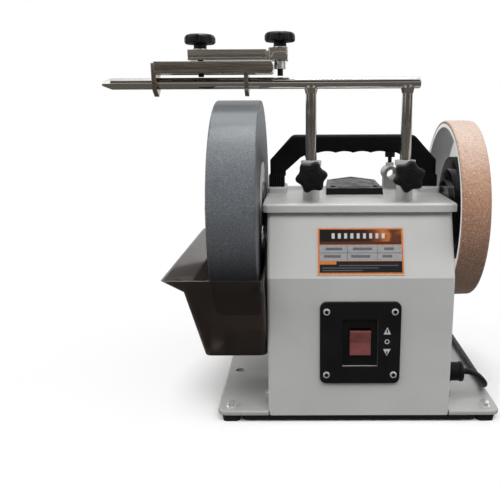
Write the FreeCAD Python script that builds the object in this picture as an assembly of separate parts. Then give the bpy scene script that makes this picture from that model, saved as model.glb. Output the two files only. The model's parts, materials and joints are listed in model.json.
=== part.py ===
import FreeCAD, Part
import math
import os

# Wet grinding sharpener. Millimetres, +X to the honing wheel, +Y to the rear, +Z up.
# Origin: on the bench, under the middle of the casing and of the main axle.

V = FreeCAD.Vector
PARTS_FOLDER = "parts"

# Driving dimensions ---------------------------------------------------------------------------

AXLE_Z = 223.0              # main axle above the bench, at y = 0
SHAFT_R = 6.0               # main axle, 12 mm
RUNNING = 0.05              # radial clearance of a running fit
SEAT = 0.02                 # radial clearance of parts that are fixed together

STONE_R = 125.0             # 250 mm stone
STONE_LEFT = -157.5
STONE_RIGHT = -107.5        # 50 mm wide
LABEL_R = 55.0
LABEL_T = 0.4
FLANGE_R = 32.0

DRUM_R = 98.0               # honing wheel under its leather
LEATHER_R = 101.5
DRUM_LEFT = 102.5
DRUM_RIGHT = 132.5          # 30 mm wide
DRUM_WALL = 4.0
DRIVE_R = 60.0              # friction drive wheel with its tyre
ROLLER_R = 4.0              # roller on the motor: 15 turns for one turn of the drive wheel

WALL_X = 99.0               # casing, outside
SHEET = 2.0
FRONT_Y = -102.0
REAR_Y = 79.0
KINK_Z = 165.0              # the front leans back above this height
FACE_TOP_Y = -72.5
FACE_TOP_Z = 231.0
CASING_TOP = 234.0
CASING_FOOT = 9.0

PLATE_X = 156.0             # base plate
PLATE_REAR = 128.0
PLATE_TOP = 14.0
PLATE_UNDER = 9.0
FOOT_X = 141.0
FOOT_Y = (-90.0, 116.0)
BENCH_HOLE_X = 141.0
BENCH_HOLE_Y = 9.0
BENCH_HOLE_R = 5.5

CAP_X = 104.0               # top cap
CAP_FRONT = -78.0
CAP_REAR = 84.0
CAP_TOP = 240.0
PAD_TOP = 246.5
PAD_X = (80.0, 103.0)
PAD_Y = (10.0, 60.0)

LEG_X = 51.5                # support legs are 103 mm apart, in both pairs of sleeves
LEG_Y = -44.0
BAR_R = 6.0                 # universal support, 12 mm rod
BAR_Z = 365.0
BAR_RIGHT = 65.0
BAR_TIP = -274.0
SLEEVE_R = 9.25
SLEEVE_TOP = 283.0
KNOB_Z = 268.0
REAR_SLEEVE_Z = 257.0
REAR_SLEEVE_Y = (56.0, 92.0)
REAR_SCREW_Y = 77.0

MOTOR_Y = 20.0              # motor axis; its distance from the axle sets the roller on the tyre
MOTOR_GAP = 0.03            # roller to tyre at rest
MOTOR_Z = AXLE_Z - math.sqrt((DRIVE_R + ROLLER_R + MOTOR_GAP) ** 2 - MOTOR_Y ** 2)
MOTOR_R = 48.0
PIVOT_Y = -48.4             # swing axis of the motor cradle
PIVOT_Z = 139.7
PIVOT_R = 4.0

TANK_RIM_Z = 173.0
TANK_WALL = 2.5
STUD_Y = 64.0               # tank hanger studs on the left wall
STUD_Z = 201.0

PANEL_Z = 94.0              # switch panel

JIG_Z = 374.5               # underside of the jig's lower plate
JIG_BOLT_LEFT = -168.2
JIG_BOLT_RIGHT = -84.2


# Helpers --------------------------------------------------------------------------------------

def box(x0, x1, y0, y1, z0, z1):
    return Part.makeBox(x1 - x0, y1 - y0, z1 - z0, V(x0, y0, z0))


def rod_x(r, x0, x1, y=0.0, z=AXLE_Z):
    return Part.makeCylinder(r, x1 - x0, V(x0, y, z), V(1, 0, 0))


def rod_y(r, y0, y1, x, z):
    return Part.makeCylinder(r, y1 - y0, V(x, y0, z), V(0, 1, 0))


def rod_z(r, z0, z1, x, y):
    return Part.makeCylinder(r, z1 - z0, V(x, y, z0), V(0, 0, 1))


def cone_z(r0, r1, z0, z1, x, y):
    return Part.makeCone(r0, r1, z1 - z0, V(x, y, z0), V(0, 0, 1))


def tube_x(outer, inner, x0, x1, y=0.0, z=AXLE_Z):
    return rod_x(outer, x0, x1, y, z).cut(rod_x(inner, x0 - 1, x1 + 1, y, z))


def tube_z(outer, inner, z0, z1, x, y):
    return rod_z(outer, z0, z1, x, y).cut(rod_z(inner, z0 - 1, z1 + 1, x, y))


def prism(points, along):
    """Solid swept from a closed outline of points along a vector."""
    wire = Part.makePolygon([V(*p) for p in points + points[:1]])
    return Part.Face(wire).extrude(V(*along))


def hex_prism(across_flats, start, along):
    """Hexagonal prism from a start point along a vector."""
    corner_r = across_flats / math.sqrt(3)
    start = V(*start)
    along = V(*along)
    side = V(0, 0, 1) if abs(along.z) < 0.5 * along.Length else V(1, 0, 0)
    other = along.cross(side).normalize()
    corners = []
    for i in range(7):
        angle = math.radians(60 * i)
        corners.append(start + side * (corner_r * math.cos(angle)) + other * (corner_r * math.sin(angle)))
    return Part.Face(Part.makePolygon(corners)).extrude(along)


def polyhedron(points, faces):
    shell = []
    for face in faces:
        corners = [V(*points[i]) for i in face]
        shell.append(Part.Face(Part.makePolygon(corners + corners[:1])))
    return Part.Solid(Part.Shell(shell))


def rounded_box(x0, x1, y0, y1, z0, z1, upright_r, top_r=0.0):
    """Box with rounded upright edges and, if asked, rounded top edges."""
    body = box(x0, x1, y0, y1, z0, z1)
    uprights = [e for e in body.Edges if abs(e.BoundBox.ZLength - (z1 - z0)) < 1e-6]
    body = body.makeFillet(upright_r, uprights)
    if top_r:
        rim = [e for e in body.Edges if e.BoundBox.ZMin > z1 - 1e-6]
        body = body.makeFillet(top_r, rim)
    return body


def rounded_loop(x0, x1, y0, y1, z, r):
    """Closed rounded rectangle at height z."""
    corners = ((x1 - r, y1 - r, 0), (x0 + r, y1 - r, 90), (x0 + r, y0 + r, 180), (x1 - r, y0 + r, 270))
    arcs = []
    for cx, cy, turn in corners:
        arcs.append(Part.makeCircle(r, V(cx, cy, z), V(0, 0, 1), turn, turn + 90))
    edges = []
    for i, arc in enumerate(arcs):
        following = arcs[(i + 1) % 4]
        edges.append(arc)
        edges.append(Part.makeLine(arc.Vertexes[-1].Point, following.Vertexes[0].Point))
    return Part.Wire(edges)


def mirror_x(shape):
    return shape.mirror(V(0, 0, 0), V(1, 0, 0))


def both_sides(shape):
    return Part.makeCompound([shape, mirror_x(shape)])


def fuse(first, *others):
    return first.fuse(list(others)).removeSplitter()


def cut(first, *others):
    return first.cut(list(others))


def pan_screw(r, length, head_r, head_t, at, along):
    """Screw with a domed head; at is under the head, along points out of the head."""
    along = V(*along).normalize()
    at = V(*at)
    shank = Part.makeCylinder(r, length, at - along * length, along)
    head = Part.makeCylinder(head_r, head_t, at, along)
    rim = [
        e for e in head.Edges
        if len(e.Vertexes) == 1 and (e.Vertexes[0].Point - at).dot(along) > head_t / 2
    ]
    head = head.makeFillet(head_t * 0.4, rim)
    socket = hex_prism(head_r * 1.05, at + along * (head_t * 0.2), along * head_t)
    return cut(fuse(shank, head), socket)


def hex_bolt(r, length, flats, head_t, at, along):
    """Hexagon bolt with a washer face; at is under the washer face."""
    along = V(*along).normalize()
    at = V(*at)
    washer_t = 1.2
    shank = Part.makeCylinder(r, length, at - along * length, along)
    washer = Part.makeCylinder(flats * 0.62, washer_t, at, along)
    head = hex_prism(flats, at + along * washer_t, along * head_t)
    return fuse(shank, washer, head)


def lobed_knob(lobes, outer_r, waist_r, start, along, round_r):
    """Star grip with smooth lobes, from a start point along a vector, rounded at its far end."""
    start = V(*start)
    along = V(*along)
    side = V(0, 0, 1) if abs(along.z) < 0.5 * along.Length else V(1, 0, 0)
    other = along.cross(side).normalize()
    steps = lobes * 6
    points = []
    for i in range(steps):
        angle = 2 * math.pi * i / steps
        swell = 0.5 + 0.5 * math.cos(lobes * angle + 0.9)
        r = waist_r + (outer_r - waist_r) * swell
        points.append(start + side * (r * math.cos(angle)) + other * (r * math.sin(angle)))
    curve = Part.BSplineCurve()
    curve.interpolate(Points=points, PeriodicFlag=True)
    grip = Part.Face(Part.Wire(curve.toShape())).extrude(along)
    axis = V(along).normalize()
    far = [e for e in grip.Edges if (e.CenterOfMass - start).dot(axis) > along.Length - 1e-3]
    return grip.makeFillet(round_r, far)


# Casing ---------------------------------------------------------------------------------------

def casing_outline(inset, bottom, top):
    """Side outline of the casing, moved inwards by inset."""
    rise = FACE_TOP_Z - KINK_Z
    run = FACE_TOP_Y - FRONT_Y
    slope = math.hypot(rise, run)
    kink_drop = inset * (slope - rise) / run
    top_shift = inset * slope / rise
    top_run = (FACE_TOP_Z - KINK_Z) * run / rise
    return [
        (0, FRONT_Y + inset, bottom),
        (0, FRONT_Y + inset, KINK_Z - kink_drop),
        (0, FRONT_Y + top_run + top_shift, FACE_TOP_Z),
        (0, FRONT_Y + top_run + top_shift, top),
        (0, REAR_Y - inset, top),
        (0, REAR_Y - inset, bottom),
    ]


def front_face_y(z):
    """Outside of the casing's front at height z."""
    if z <= KINK_Z:
        return FRONT_Y
    return FRONT_Y + (z - KINK_Z) * (FACE_TOP_Y - FRONT_Y) / (FACE_TOP_Z - KINK_Z)


def casing_solid(inset, bottom, top, edge_r):
    points = [(-WALL_X + inset, y, z) for _, y, z in casing_outline(inset, bottom, top)]
    body = prism(points, (2 * (WALL_X - inset), 0, 0))
    long_edges = []
    for e in body.Edges:
        at_side = e.BoundBox.XLength < 1e-6
        level = e.BoundBox.ZLength < 1e-6
        if at_side and not level:
            long_edges.append(e)
    return body.makeFillet(edge_r, long_edges)


CARRIER_SCREW_PCR = 16.0


def carrier_screw_places():
    for i in range(3):
        angle = math.radians(-160 + 70 * i)
        yield CARRIER_SCREW_PCR * math.cos(angle), AXLE_Z + CARRIER_SCREW_PCR * math.sin(angle)


PANEL_SCREWS = [(x, PANEL_Z + z) for x in (-36, 36) for z in (-35.5, 35.5)]
PANEL_W = 86.0
PANEL_H = 92.0
WINDOW_W = 38.0
WINDOW_H = 54.0
GLAND_Y = -80.0
GLAND_Z = 51.0
CAP_SCREWS = [(x, y) for x in (-92, 92) for y in (-62, 72)]
SIDE_BOLT_Y = (-84.0, 62.0)
SIDE_BOLT_Z = 26.0


def housing_shell():
    outer = casing_solid(0, CASING_FOOT, CASING_TOP, 4.0)
    inner = casing_solid(SHEET, CASING_FOOT - 1, CASING_TOP + 1, 2.0)
    shell = outer.cut(inner)
    inside = WALL_X - SHEET
    rim = box(-inside, inside, FACE_TOP_Y + SHEET, REAR_Y - SHEET, CASING_TOP - SHEET, CASING_TOP)
    low = CASING_TOP - 5
    high = CASING_TOP + 1
    reliefs = [box(-86, 86, -56, 66, low, high), box(-98, 98, -14, 14, low, high)]
    reliefs += [rod_z(6.6, low, high, x, HANDLE_Y) for x in (-HANDLE_SCREW_X, HANDLE_SCREW_X)]
    rim = rim.cut(reliefs)
    shell = fuse(shell, rim)
    raised_foot = box(-WALL_X - 1, WALL_X + 1, FRONT_Y + SHEET, REAR_Y + 1, 0, PLATE_TOP)
    cuts = [raised_foot]
    for side in (-1, 1):
        x0, x1 = sorted((side * (WALL_X - 4), side * (WALL_X + 1)))
        cuts.append(rod_x(10.1, x0, x1))
        for y, z in carrier_screw_places():
            cuts.append(rod_x(2.1, x0, x1, y, z))
        for y in SIDE_BOLT_Y:
            cuts.append(rod_x(3.1, x0, x1, y, SIDE_BOLT_Z))
    for y in (-STUD_Y, STUD_Y):
        cuts.append(rod_x(3.1, -WALL_X - 1, -WALL_X + 4, y, STUD_Z))
    cuts.append(rod_x(15, WALL_X - 4, WALL_X + 1, MOTOR_Y, MOTOR_Z - 1))
    cuts.append(rod_x(8, WALL_X - 4, WALL_X + 1, GLAND_Y, GLAND_Z))
    for x, z in PANEL_SCREWS:
        cuts.append(rod_y(2.1, FRONT_Y - 1, FRONT_Y + 4, x, z))
    window_z = (PANEL_Z - WINDOW_H / 2, PANEL_Z + WINDOW_H / 2)
    cuts.append(box(-WINDOW_W / 2, WINDOW_W / 2, FRONT_Y - 1, FRONT_Y + 4, *window_z))
    for x, y in CAP_SCREWS:
        cuts.append(rod_z(2.1, CASING_TOP - 4, CASING_TOP + 1, x, y))
    for row in (70, 125):
        for i in range(-4, 5):
            slot = box(i * 14 - 2.5, i * 14 + 2.5, REAR_Y - 5, REAR_Y + 1, row, row + 36)
            cuts.append(slot)
    return shell.cut(cuts)


def base_plate():
    """Folded plate: a top sheet with a lip turned down all round and tabs turned up inside the casing."""
    body = rounded_box(-PLATE_X, PLATE_X, FRONT_Y, PLATE_REAR, PLATE_UNDER, PLATE_TOP, 11.0, 2.5)
    hollow = rounded_box(-PLATE_X + SHEET, PLATE_X - SHEET, FRONT_Y + SHEET, PLATE_REAR - SHEET,
                         PLATE_UNDER - 1, PLATE_TOP - SHEET, 9.0)
    front_gap = box(-WALL_X - 0.3, WALL_X + 0.3, FRONT_Y - 1, FRONT_Y + SHEET + 0.2, 0, PLATE_TOP + 1)
    body = body.cut([hollow, front_gap])
    tabs = []
    for y in SIDE_BOLT_Y:
        tab = box(WALL_X - 4, WALL_X - SHEET, y - 9, y + 9, PLATE_TOP - 1, SIDE_BOLT_Z + 10)
        tabs += [tab, mirror_x(tab)]
    body = fuse(body, *tabs)
    cuts = []
    for y in SIDE_BOLT_Y:
        cuts.append(rod_x(3.1, -WALL_X, WALL_X, y, SIDE_BOLT_Z))
    for x in (-FOOT_X, FOOT_X):
        for y in FOOT_Y:
            cuts.append(rod_z(3.1, 0, PLATE_TOP + 1, x, y))
    for x in (-BENCH_HOLE_X, BENCH_HOLE_X):
        cuts.append(rod_z(BENCH_HOLE_R, 0, PLATE_TOP + 1, x, BENCH_HOLE_Y))
    for i in range(-3, 4):
        cuts.append(rounded_box(i * 20 - 3, i * 20 + 3, -30, 30, 0, PLATE_TOP + 1, 2.9))
    return body.cut(cuts)


def bottom_cover():
    """Black tray under the plate, open above."""
    outer = rounded_box(-129, 129, FRONT_Y + 3, PLATE_REAR - 4, 2.6, PLATE_TOP - SHEET, 6.0)
    inner = rounded_box(-127, 127, FRONT_Y + 5, PLATE_REAR - 6, 4.4, PLATE_TOP, 4.0)
    slots = []
    for i in range(-3, 4):
        slots.append(rounded_box(i * 20 - 3, i * 20 + 3, -30, 30, 0, PLATE_TOP, 2.9))
    return outer.cut([inner] + slots)


def rubber_feet():
    feet = []
    for x in (-FOOT_X, FOOT_X):
        for y in FOOT_Y:
            tall = PLATE_TOP - SHEET
            low = rounded_loop(x - 9.5, x + 9.5, y - 8.2, y + 8.2, 0, 5.0)
            high = rounded_loop(x - 11.5, x + 11.5, y - 9.2, y + 9.2, tall, 8.0)
            foot = Part.makeLoft([low, high], True, True)
            feet.append(foot.cut(rod_z(3.0, 2.5, tall + 1, x, y)))
    return Part.makeCompound(feet)


def foot_bolts():
    bolts = []
    for x in (-FOOT_X, FOOT_X):
        for y in FOOT_Y:
            bolts.append(hex_bolt(2.98, PLATE_TOP - 3, 10.0, 4.0, (x, y, PLATE_TOP), (0, 0, 1)))
    return Part.makeCompound(bolts)


def side_bolts():
    bolts = []
    for y in SIDE_BOLT_Y:
        bolt = hex_bolt(3.0, 9.0, 8.0, 3.4, (WALL_X, y, SIDE_BOLT_Z), (1, 0, 0))
        bolts += [bolt, mirror_x(bolt)]
    return Part.makeCompound(bolts)


# Top cap and what stands on it ----------------------------------------------------------------

def top_cap():
    deck = rounded_box(-CAP_X, CAP_X, CAP_FRONT, CAP_REAR, FACE_TOP_Z, CAP_TOP, 7.0, 2.5)
    gap = 0.4
    recess = box(-WALL_X - gap, WALL_X + gap, FACE_TOP_Y - gap, REAR_Y + gap, FACE_TOP_Z - 1, CASING_TOP)
    pad = rounded_box(PAD_X[0], PAD_X[1], PAD_Y[0], PAD_Y[1], CAP_TOP - 3, PAD_TOP, 4.0, 1.5)
    deck = fuse(deck.cut(recess), pad, mirror_x(pad))
    cuts = []
    for x in (-LEG_X, LEG_X):
        cuts.append(rod_z(SLEEVE_R + SEAT, FACE_TOP_Z, CAP_TOP + 1, x, LEG_Y))
    for x in (-HANDLE_SCREW_X, HANDLE_SCREW_X):
        cuts.append(rod_z(3.1, FACE_TOP_Z, PAD_TOP + 1, x, HANDLE_Y))
    for x in (-COVER_SCREW_X, COVER_SCREW_X):
        cuts.append(rod_z(1.55, CASING_TOP + 1, CAP_TOP + 1, x, COVER_SCREW_Y))
    for x, y in CAP_SCREWS:
        cuts.append(rod_z(2.05, CASING_TOP - 1, CAP_TOP - 2, x, y))
    return deck.cut(cuts)


def cap_screws():
    screws = []
    for x, y in CAP_SCREWS:
        screws.append(pan_screw(2.0, 5.5, 3.5, 2.4, (x, y, CASING_TOP - SHEET), (0, 0, -1)))
    return Part.makeCompound(screws)


def vertical_sleeves():
    """Tube with a flared mouth and a boss for the clamping knob."""
    tube = rod_z(SLEEVE_R, 205, SLEEVE_TOP - 4, LEG_X, LEG_Y)
    flare = cone_z(SLEEVE_R, 11.2, SLEEVE_TOP - 9, SLEEVE_TOP - 4, LEG_X, LEG_Y)
    mouth = rod_z(11.2, SLEEVE_TOP - 4, SLEEVE_TOP, LEG_X, LEG_Y)
    boss = rod_y(6.5, -58, LEG_Y, LEG_X, KNOB_Z)
    sleeve = fuse(tube, flare, mouth, boss)
    bore = rod_z(BAR_R + RUNNING, 200, SLEEVE_TOP + 1, LEG_X, LEG_Y)
    thread = rod_y(3.0 + RUNNING, -60, LEG_Y, LEG_X, KNOB_Z)
    return both_sides(sleeve.cut([bore, thread]))


def horizontal_sleeves():
    """Tube lying front to back on a pedestal, with a screw boss above."""
    y0, y1 = REAR_SLEEVE_Y
    tube = rod_y(9.75, y0, y1, LEG_X, REAR_SLEEVE_Z)
    pedestal = box(LEG_X - 8.5, LEG_X + 8.5, y0, y1 - 9, CAP_TOP, REAR_SLEEVE_Z)
    boss = rod_z(5.0, REAR_SLEEVE_Z, REAR_SLEEVE_Z + 13.5, LEG_X, REAR_SCREW_Y)
    sleeve = fuse(tube, pedestal, boss)
    bore = rod_y(BAR_R + RUNNING, y0 - 1, y1 + 1, LEG_X, REAR_SLEEVE_Z)
    thread = rod_z(2.5 + RUNNING, REAR_SLEEVE_Z, REAR_SLEEVE_Z + 15, LEG_X, REAR_SCREW_Y)
    return both_sides(sleeve.cut([bore, thread]))


def star_knob():
    """Right-hand clamping knob: a lobed grip with a hub, and its steel stud."""
    grip = lobed_knob(6, 18.7, 13.6, (LEG_X, -65, KNOB_Z), (0, -13, 0), 2.0)
    hub = rod_y(8.5, -65, -60, LEG_X, KNOB_Z)
    stud = rod_y(3.0, -72, LEG_Y - BAR_R - 0.1, LEG_X, KNOB_Z)
    return Part.makeCompound([cut(fuse(grip, hub), stud), stud])


def rear_thumb_screw():
    """Small screw with a knurled T head, right-hand side."""
    stud = rod_z(2.5, REAR_SLEEVE_Z + BAR_R + 0.1, 279, LEG_X, REAR_SCREW_Y)
    head = rod_z(6.3, 277.5, 285, LEG_X, REAR_SCREW_Y)
    flutes = []
    for i in range(12):
        angle = math.radians(30 * i)
        x = LEG_X + 6.9 * math.cos(angle)
        y = REAR_SCREW_Y + 6.9 * math.sin(angle)
        flutes.append(rod_z(1.1, 277, 284, x, y))
    return fuse(stud, head.cut(flutes))


HANDLE_Y = 35.0
HANDLE_HALF = 13.0
HANDLE_SCREW_X = 92.0
HANDLE_TOP = 307.5


def carry_handle():
    """Fixed loop handle: two feet, leaning shoulders, and a grip with finger waves below."""
    y0 = HANDLE_Y - HANDLE_HALF
    right = [
        (81.5, y0, 259.0), (81.5, y0, 264.5), (63.0, y0, 281.0), (52.0, y0, 286.5),
    ]
    right_outer = [
        (73.0, y0, HANDLE_TOP), (100.0, y0, 278.0), (100.0, y0, 259.0),
    ]
    left = [(-x, y, z) for x, y, z in reversed(right)]
    left_outer = [(-x, y, z) for x, y, z in reversed(right_outer)]
    loop = prism(left_outer + right_outer + right + left, (0, 2 * HANDLE_HALF, 0))
    shoulders = [e for e in loop.Edges if e.BoundBox.ZMin > HANDLE_TOP - 0.01 and e.BoundBox.XLength < 1e-6]
    loop = loop.makeFillet(9.0, shoulders)
    along_front = [e for e in loop.Edges if e.BoundBox.YLength < 1e-6 and e.BoundBox.ZMax > 260]
    loop = loop.makeFillet(4.0, along_front)
    waves = []
    for i in range(4):
        waves.append(rod_y(29.0, y0 - 1, y0 + 2 * HANDLE_HALF + 1, (i - 1.5) * 21.0, 286.5 - 27.0))
    foot = rounded_box(83.0, 101.8, y0 - 1, y0 + 2 * HANDLE_HALF + 1, PAD_TOP, 260.5, 3.0, 1.5)
    whole = fuse(loop.cut(waves), foot, mirror_x(foot))
    holes = [rod_z(3.0, PAD_TOP - 1, 266, x, HANDLE_Y) for x in (-HANDLE_SCREW_X, HANDLE_SCREW_X)]
    return whole.cut(holes)


def handle_screws():
    screws = []
    for x in (-HANDLE_SCREW_X, HANDLE_SCREW_X):
        screws.append(pan_screw(2.98, 30, 4.8, 3.0, (x, HANDLE_Y, CASING_TOP), (0, 0, -1)))
    return Part.makeCompound(screws)


COVER_SCREW_X = 25.0
COVER_SCREW_Y = 4.0


def cover_plate():
    """Black moulded cover on the deck, rising to a ridge at the rear."""
    points = [
        (-33.5, -5, CAP_TOP), (33.5, -5, CAP_TOP), (31.5, 58, CAP_TOP), (0, 64, CAP_TOP), (-31.5, 58,
            CAP_TOP),
        (-32.5, -4, 247.5), (32.5, -4, 247.5), (30.0, 57, 250.7), (0, 63, 254.0), (-30.0, 57, 250.7),
        (0, -4, 247.5), (0, -5, CAP_TOP),
    ]
    faces = [
        (0, 4, 3, 11), (11, 3, 2, 1),
        (0, 11, 10, 5), (11, 1, 6, 10),
        (1, 2, 7), (1, 7, 6), (2, 3, 8), (2, 8, 7), (3, 4, 9), (3, 9, 8), (4, 0, 5), (4, 5, 9),
        (10, 6, 8), (6, 7, 8), (10, 8, 5), (5, 8, 9),
    ]
    body = polyhedron(points, faces)
    if body.Volume < 0:
        body.reverse()
    cuts = []
    for x in (-COVER_SCREW_X, COVER_SCREW_X):
        cuts.append(rod_z(3.4, 244.5, 260, x, COVER_SCREW_Y))
        cuts.append(rod_z(1.6, CAP_TOP - 1, 246, x, COVER_SCREW_Y))
    return body.cut(cuts)


def cover_screws():
    screws = []
    for x in (-COVER_SCREW_X, COVER_SCREW_X):
        screws.append(pan_screw(1.5, 8.5, 2.8, 1.8, (x, COVER_SCREW_Y, 244.5), (0, 0, 1)))
    return Part.makeCompound(screws)


# Front panel ----------------------------------------------------------------------------------

def rating_plate():
    """Thin blank plate on the leaning part of the front."""
    z0 = 168.0
    z1 = 215.0
    lean = V(0, front_face_y(z1) - front_face_y(z0), z1 - z0).normalize()
    outward = V(0, -lean.z, lean.y)
    start = V(-46, front_face_y(z0), z0)
    corners = [start, start + V(92, 0, 0), start + V(92, 0, 0) + lean * 51.5, start + lean * 51.5]
    face = Part.Face(Part.makePolygon(corners + corners[:1]))
    return face.extrude(outward * 0.6)


def switch_panel():
    half_w = PANEL_W / 2
    half_h = PANEL_H / 2
    body = box(-half_w, half_w, FRONT_Y - 3, FRONT_Y, PANEL_Z - half_h, PANEL_Z + half_h)
    corners = [e for e in body.Edges if e.BoundBox.YLength > 2.9]
    body = body.makeFillet(7.0, corners)
    front = [e for e in body.Edges if e.BoundBox.YMax < FRONT_Y - 2.9]
    body = body.makeFillet(1.0, front)
    cuts = [box(-WINDOW_W / 2, WINDOW_W / 2, FRONT_Y - 4, FRONT_Y + 1,
                PANEL_Z - WINDOW_H / 2, PANEL_Z + WINDOW_H / 2)]
    for x, z in PANEL_SCREWS:
        cuts.append(rod_y(2.1, FRONT_Y - 4, FRONT_Y + 1, x, z))
    return body.cut(cuts)


def panel_screws():
    screws = []
    for x, z in PANEL_SCREWS:
        screws.append(pan_screw(2.0, 9, 3.7, 2.2, (x, FRONT_Y - 3, z), (0, -1, 0)))
    return Part.makeCompound(screws)


def switch_body():
    """Recessed frame with a well for the rocker, and a box behind it."""
    gap = 0.2
    half_w = WINDOW_W / 2 - gap
    half_h = WINDOW_H / 2 - gap
    frame = box(-half_w, half_w, FRONT_Y + 1.5, -92, PANEL_Z - half_h, PANEL_Z + half_h)
    rear = box(-16, 16, -92, -70, PANEL_Z - 22, PANEL_Z + 22)
    well = box(-11.6, 11.6, FRONT_Y - 5, -93.5, PANEL_Z - 16, PANEL_Z + 16)
    tabs = [box(x - 0.4, x + 0.4, -70, -60, PANEL_Z + z - 3, PANEL_Z + z + 3) for x in (-8,
        8) for z in (-12, 12)]
    return fuse(frame, rear, *tabs).cut(well)


ROCKER_HALF_W = 11.1


def rocker_button():
    """Rocker in its middle position, with two shallow finger slopes."""
    outline = [
        (-ROCKER_HALF_W, -106, PANEL_Z + 13.5), (-ROCKER_HALF_W, -104, PANEL_Z), (-ROCKER_HALF_W, -106,
            PANEL_Z - 13.5),
        (-ROCKER_HALF_W, -100, PANEL_Z - 13.0), (-ROCKER_HALF_W, -96, PANEL_Z), (-ROCKER_HALF_W, -100,
            PANEL_Z + 13.0),
    ]
    body = prism(outline, (2 * ROCKER_HALF_W, 0, 0))
    edges = [
        e for e in body.Edges
        if e.BoundBox.YMax < -103.5 and e.BoundBox.XLength > 2 * ROCKER_HALF_W - 1
    ]
    edges = [e for e in edges if abs(e.BoundBox.ZMin - PANEL_Z) > 5]
    return body.makeFillet(0.8, edges)


# Cord -----------------------------------------------------------------------------------------

CORD_R = 3.5
CORD_END = V(112, 150, 17)
GLAND_END = WALL_X + 18


def cable_gland():
    """Flanged bush with four fine ribs and a thicker collar at its mouth."""
    flange = rod_x(12.0, WALL_X, WALL_X + 3, GLAND_Y, GLAND_Z)
    shank = rod_x(7.9, WALL_X - 9, WALL_X, GLAND_Y, GLAND_Z)
    sleeve = rod_x(9.3, WALL_X + 3, GLAND_END, GLAND_Y, GLAND_Z)
    ribs = [rod_x(10.4, WALL_X + 4.2 + 2.3 * i, WALL_X + 5.6 + 2.3 * i, GLAND_Y, GLAND_Z) for i in range(4)]
    collar = rod_x(11.2, GLAND_END - 4.2, GLAND_END, GLAND_Y, GLAND_Z)
    rims = [e for e in collar.Edges if len(e.Vertexes) == 1]
    body = fuse(flange, shank, sleeve, collar.makeFillet(1.2, rims), *ribs)
    return body.cut(rod_x(CORD_R + 0.3, WALL_X - 10, GLAND_END + 1, GLAND_Y, GLAND_Z))


def power_cord():
    """Cord from inside the gland, over the plate's right side, to the plug behind."""
    gland_run = [V(x, GLAND_Y, GLAND_Z) for x in range(int(WALL_X) - 15, int(GLAND_END) + 10, 6)]
    lying = PLATE_TOP + CORD_R + 1.0
    fall = [V(133, -79, 47), V(141, -75, 39), V(148, -66, 29), V(151.5, -50, 20)]
    beside = [V(152, y, lying) for y in range(-36, 125, 16)]
    behind = [V(150.5, 136, lying), V(145, 143, 18), V(136, 148, 17.3)]
    plug_run = [V(x, CORD_END.y, CORD_END.z) for x in (129, 124, 120, 116)]
    curve = Part.BSplineCurve()
    curve.buildFromPoles(gland_run + fall + beside + behind + plug_run + [CORD_END])
    spine = Part.Wire([curve.toShape()])
    ring = Part.Wire(Part.makeCircle(CORD_R, gland_run[0], V(1, 0, 0)))
    return spine.makePipeShell([ring], True, False)


def power_plug():
    """Round two-pin plug lying behind the machine: moulded body and two pins."""
    x1 = CORD_END.x
    y = CORD_END.y
    z = CORD_END.z
    relief = Part.makeCone(5.0, 8.0, 22, V(x1 + 2, y, z), V(-1, 0, 0))
    grip = rod_x(12.0, x1 - 42, x1 - 20, y, z)
    face = rod_x(17.0, x1 - 48, x1 - 38, y, z)
    body = fuse(relief, grip, face).cut(rod_x(CORD_R + 0.3, x1 - 0.2, x1 + 4, y, z))
    pins = []
    for side in (-9.5, 9.5):
        pin = rod_x(2.4, x1 - 67, x1 - 42, y + side, z)
        tip = [e for e in pin.Edges if len(e.Vertexes) == 1 and e.BoundBox.XMax < x1 - 60]
        pins.append(pin.makeFillet(1.2, tip))
    return Part.makeCompound([body.cut(pins)] + pins)


# Main axle and everything that turns with it --------------------------------------------------

COLLAR_R = 7.6              # nothing wider fits under the lip of the cap


def bearing_carriers():
    disc = tube_x(21.0, 10.1, WALL_X - SHEET - 12, WALL_X - SHEET)
    disc = disc.common(box(0, WALL_X, -30, 30, AXLE_Z - 30, CASING_TOP - SHEET - 1))
    holes = [rod_x(1.9, WALL_X - SHEET - 10, WALL_X, y, z) for y, z in carrier_screw_places()]
    return both_sides(disc.cut(holes))


def shaft_bushes():
    sleeve = tube_x(10.0, SHAFT_R + RUNNING, WALL_X - SHEET - 13, WALL_X)
    nose = tube_x(COLLAR_R, SHAFT_R + RUNNING, WALL_X, WALL_X + 2.0)
    return both_sides(fuse(sleeve, nose))


def carrier_screws():
    screws = []
    for y, z in carrier_screw_places():
        screws.append(pan_screw(1.85, 10, 3.4, 1.6, (WALL_X, y, z), (1, 0, 0)))
    screws += [mirror_x(s) for s in screws]
    return Part.makeCompound(screws)


AXLE_LEFT = -176.5
AXLE_RIGHT = 148.0


def main_axle():
    body = rod_x(SHAFT_R, AXLE_LEFT, AXLE_RIGHT)
    ends = [e for e in body.Edges if len(e.Vertexes) == 1]
    return body.makeChamfer(1.0, ends)


def grinding_stone():
    ring = tube_x(STONE_R, SHAFT_R + SEAT, STONE_LEFT, STONE_RIGHT)
    rims = [e for e in ring.Edges if len(e.Vertexes) == 1 and e.BoundBox.ZLength > STONE_R]
    return ring.makeFillet(1.5, rims)


def stone_labels():
    left = tube_x(LABEL_R, SHAFT_R + 1, STONE_LEFT - LABEL_T, STONE_LEFT)
    right = tube_x(LABEL_R, SHAFT_R + 1, STONE_RIGHT, STONE_RIGHT + LABEL_T)
    return Part.makeCompound([left, right])


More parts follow.
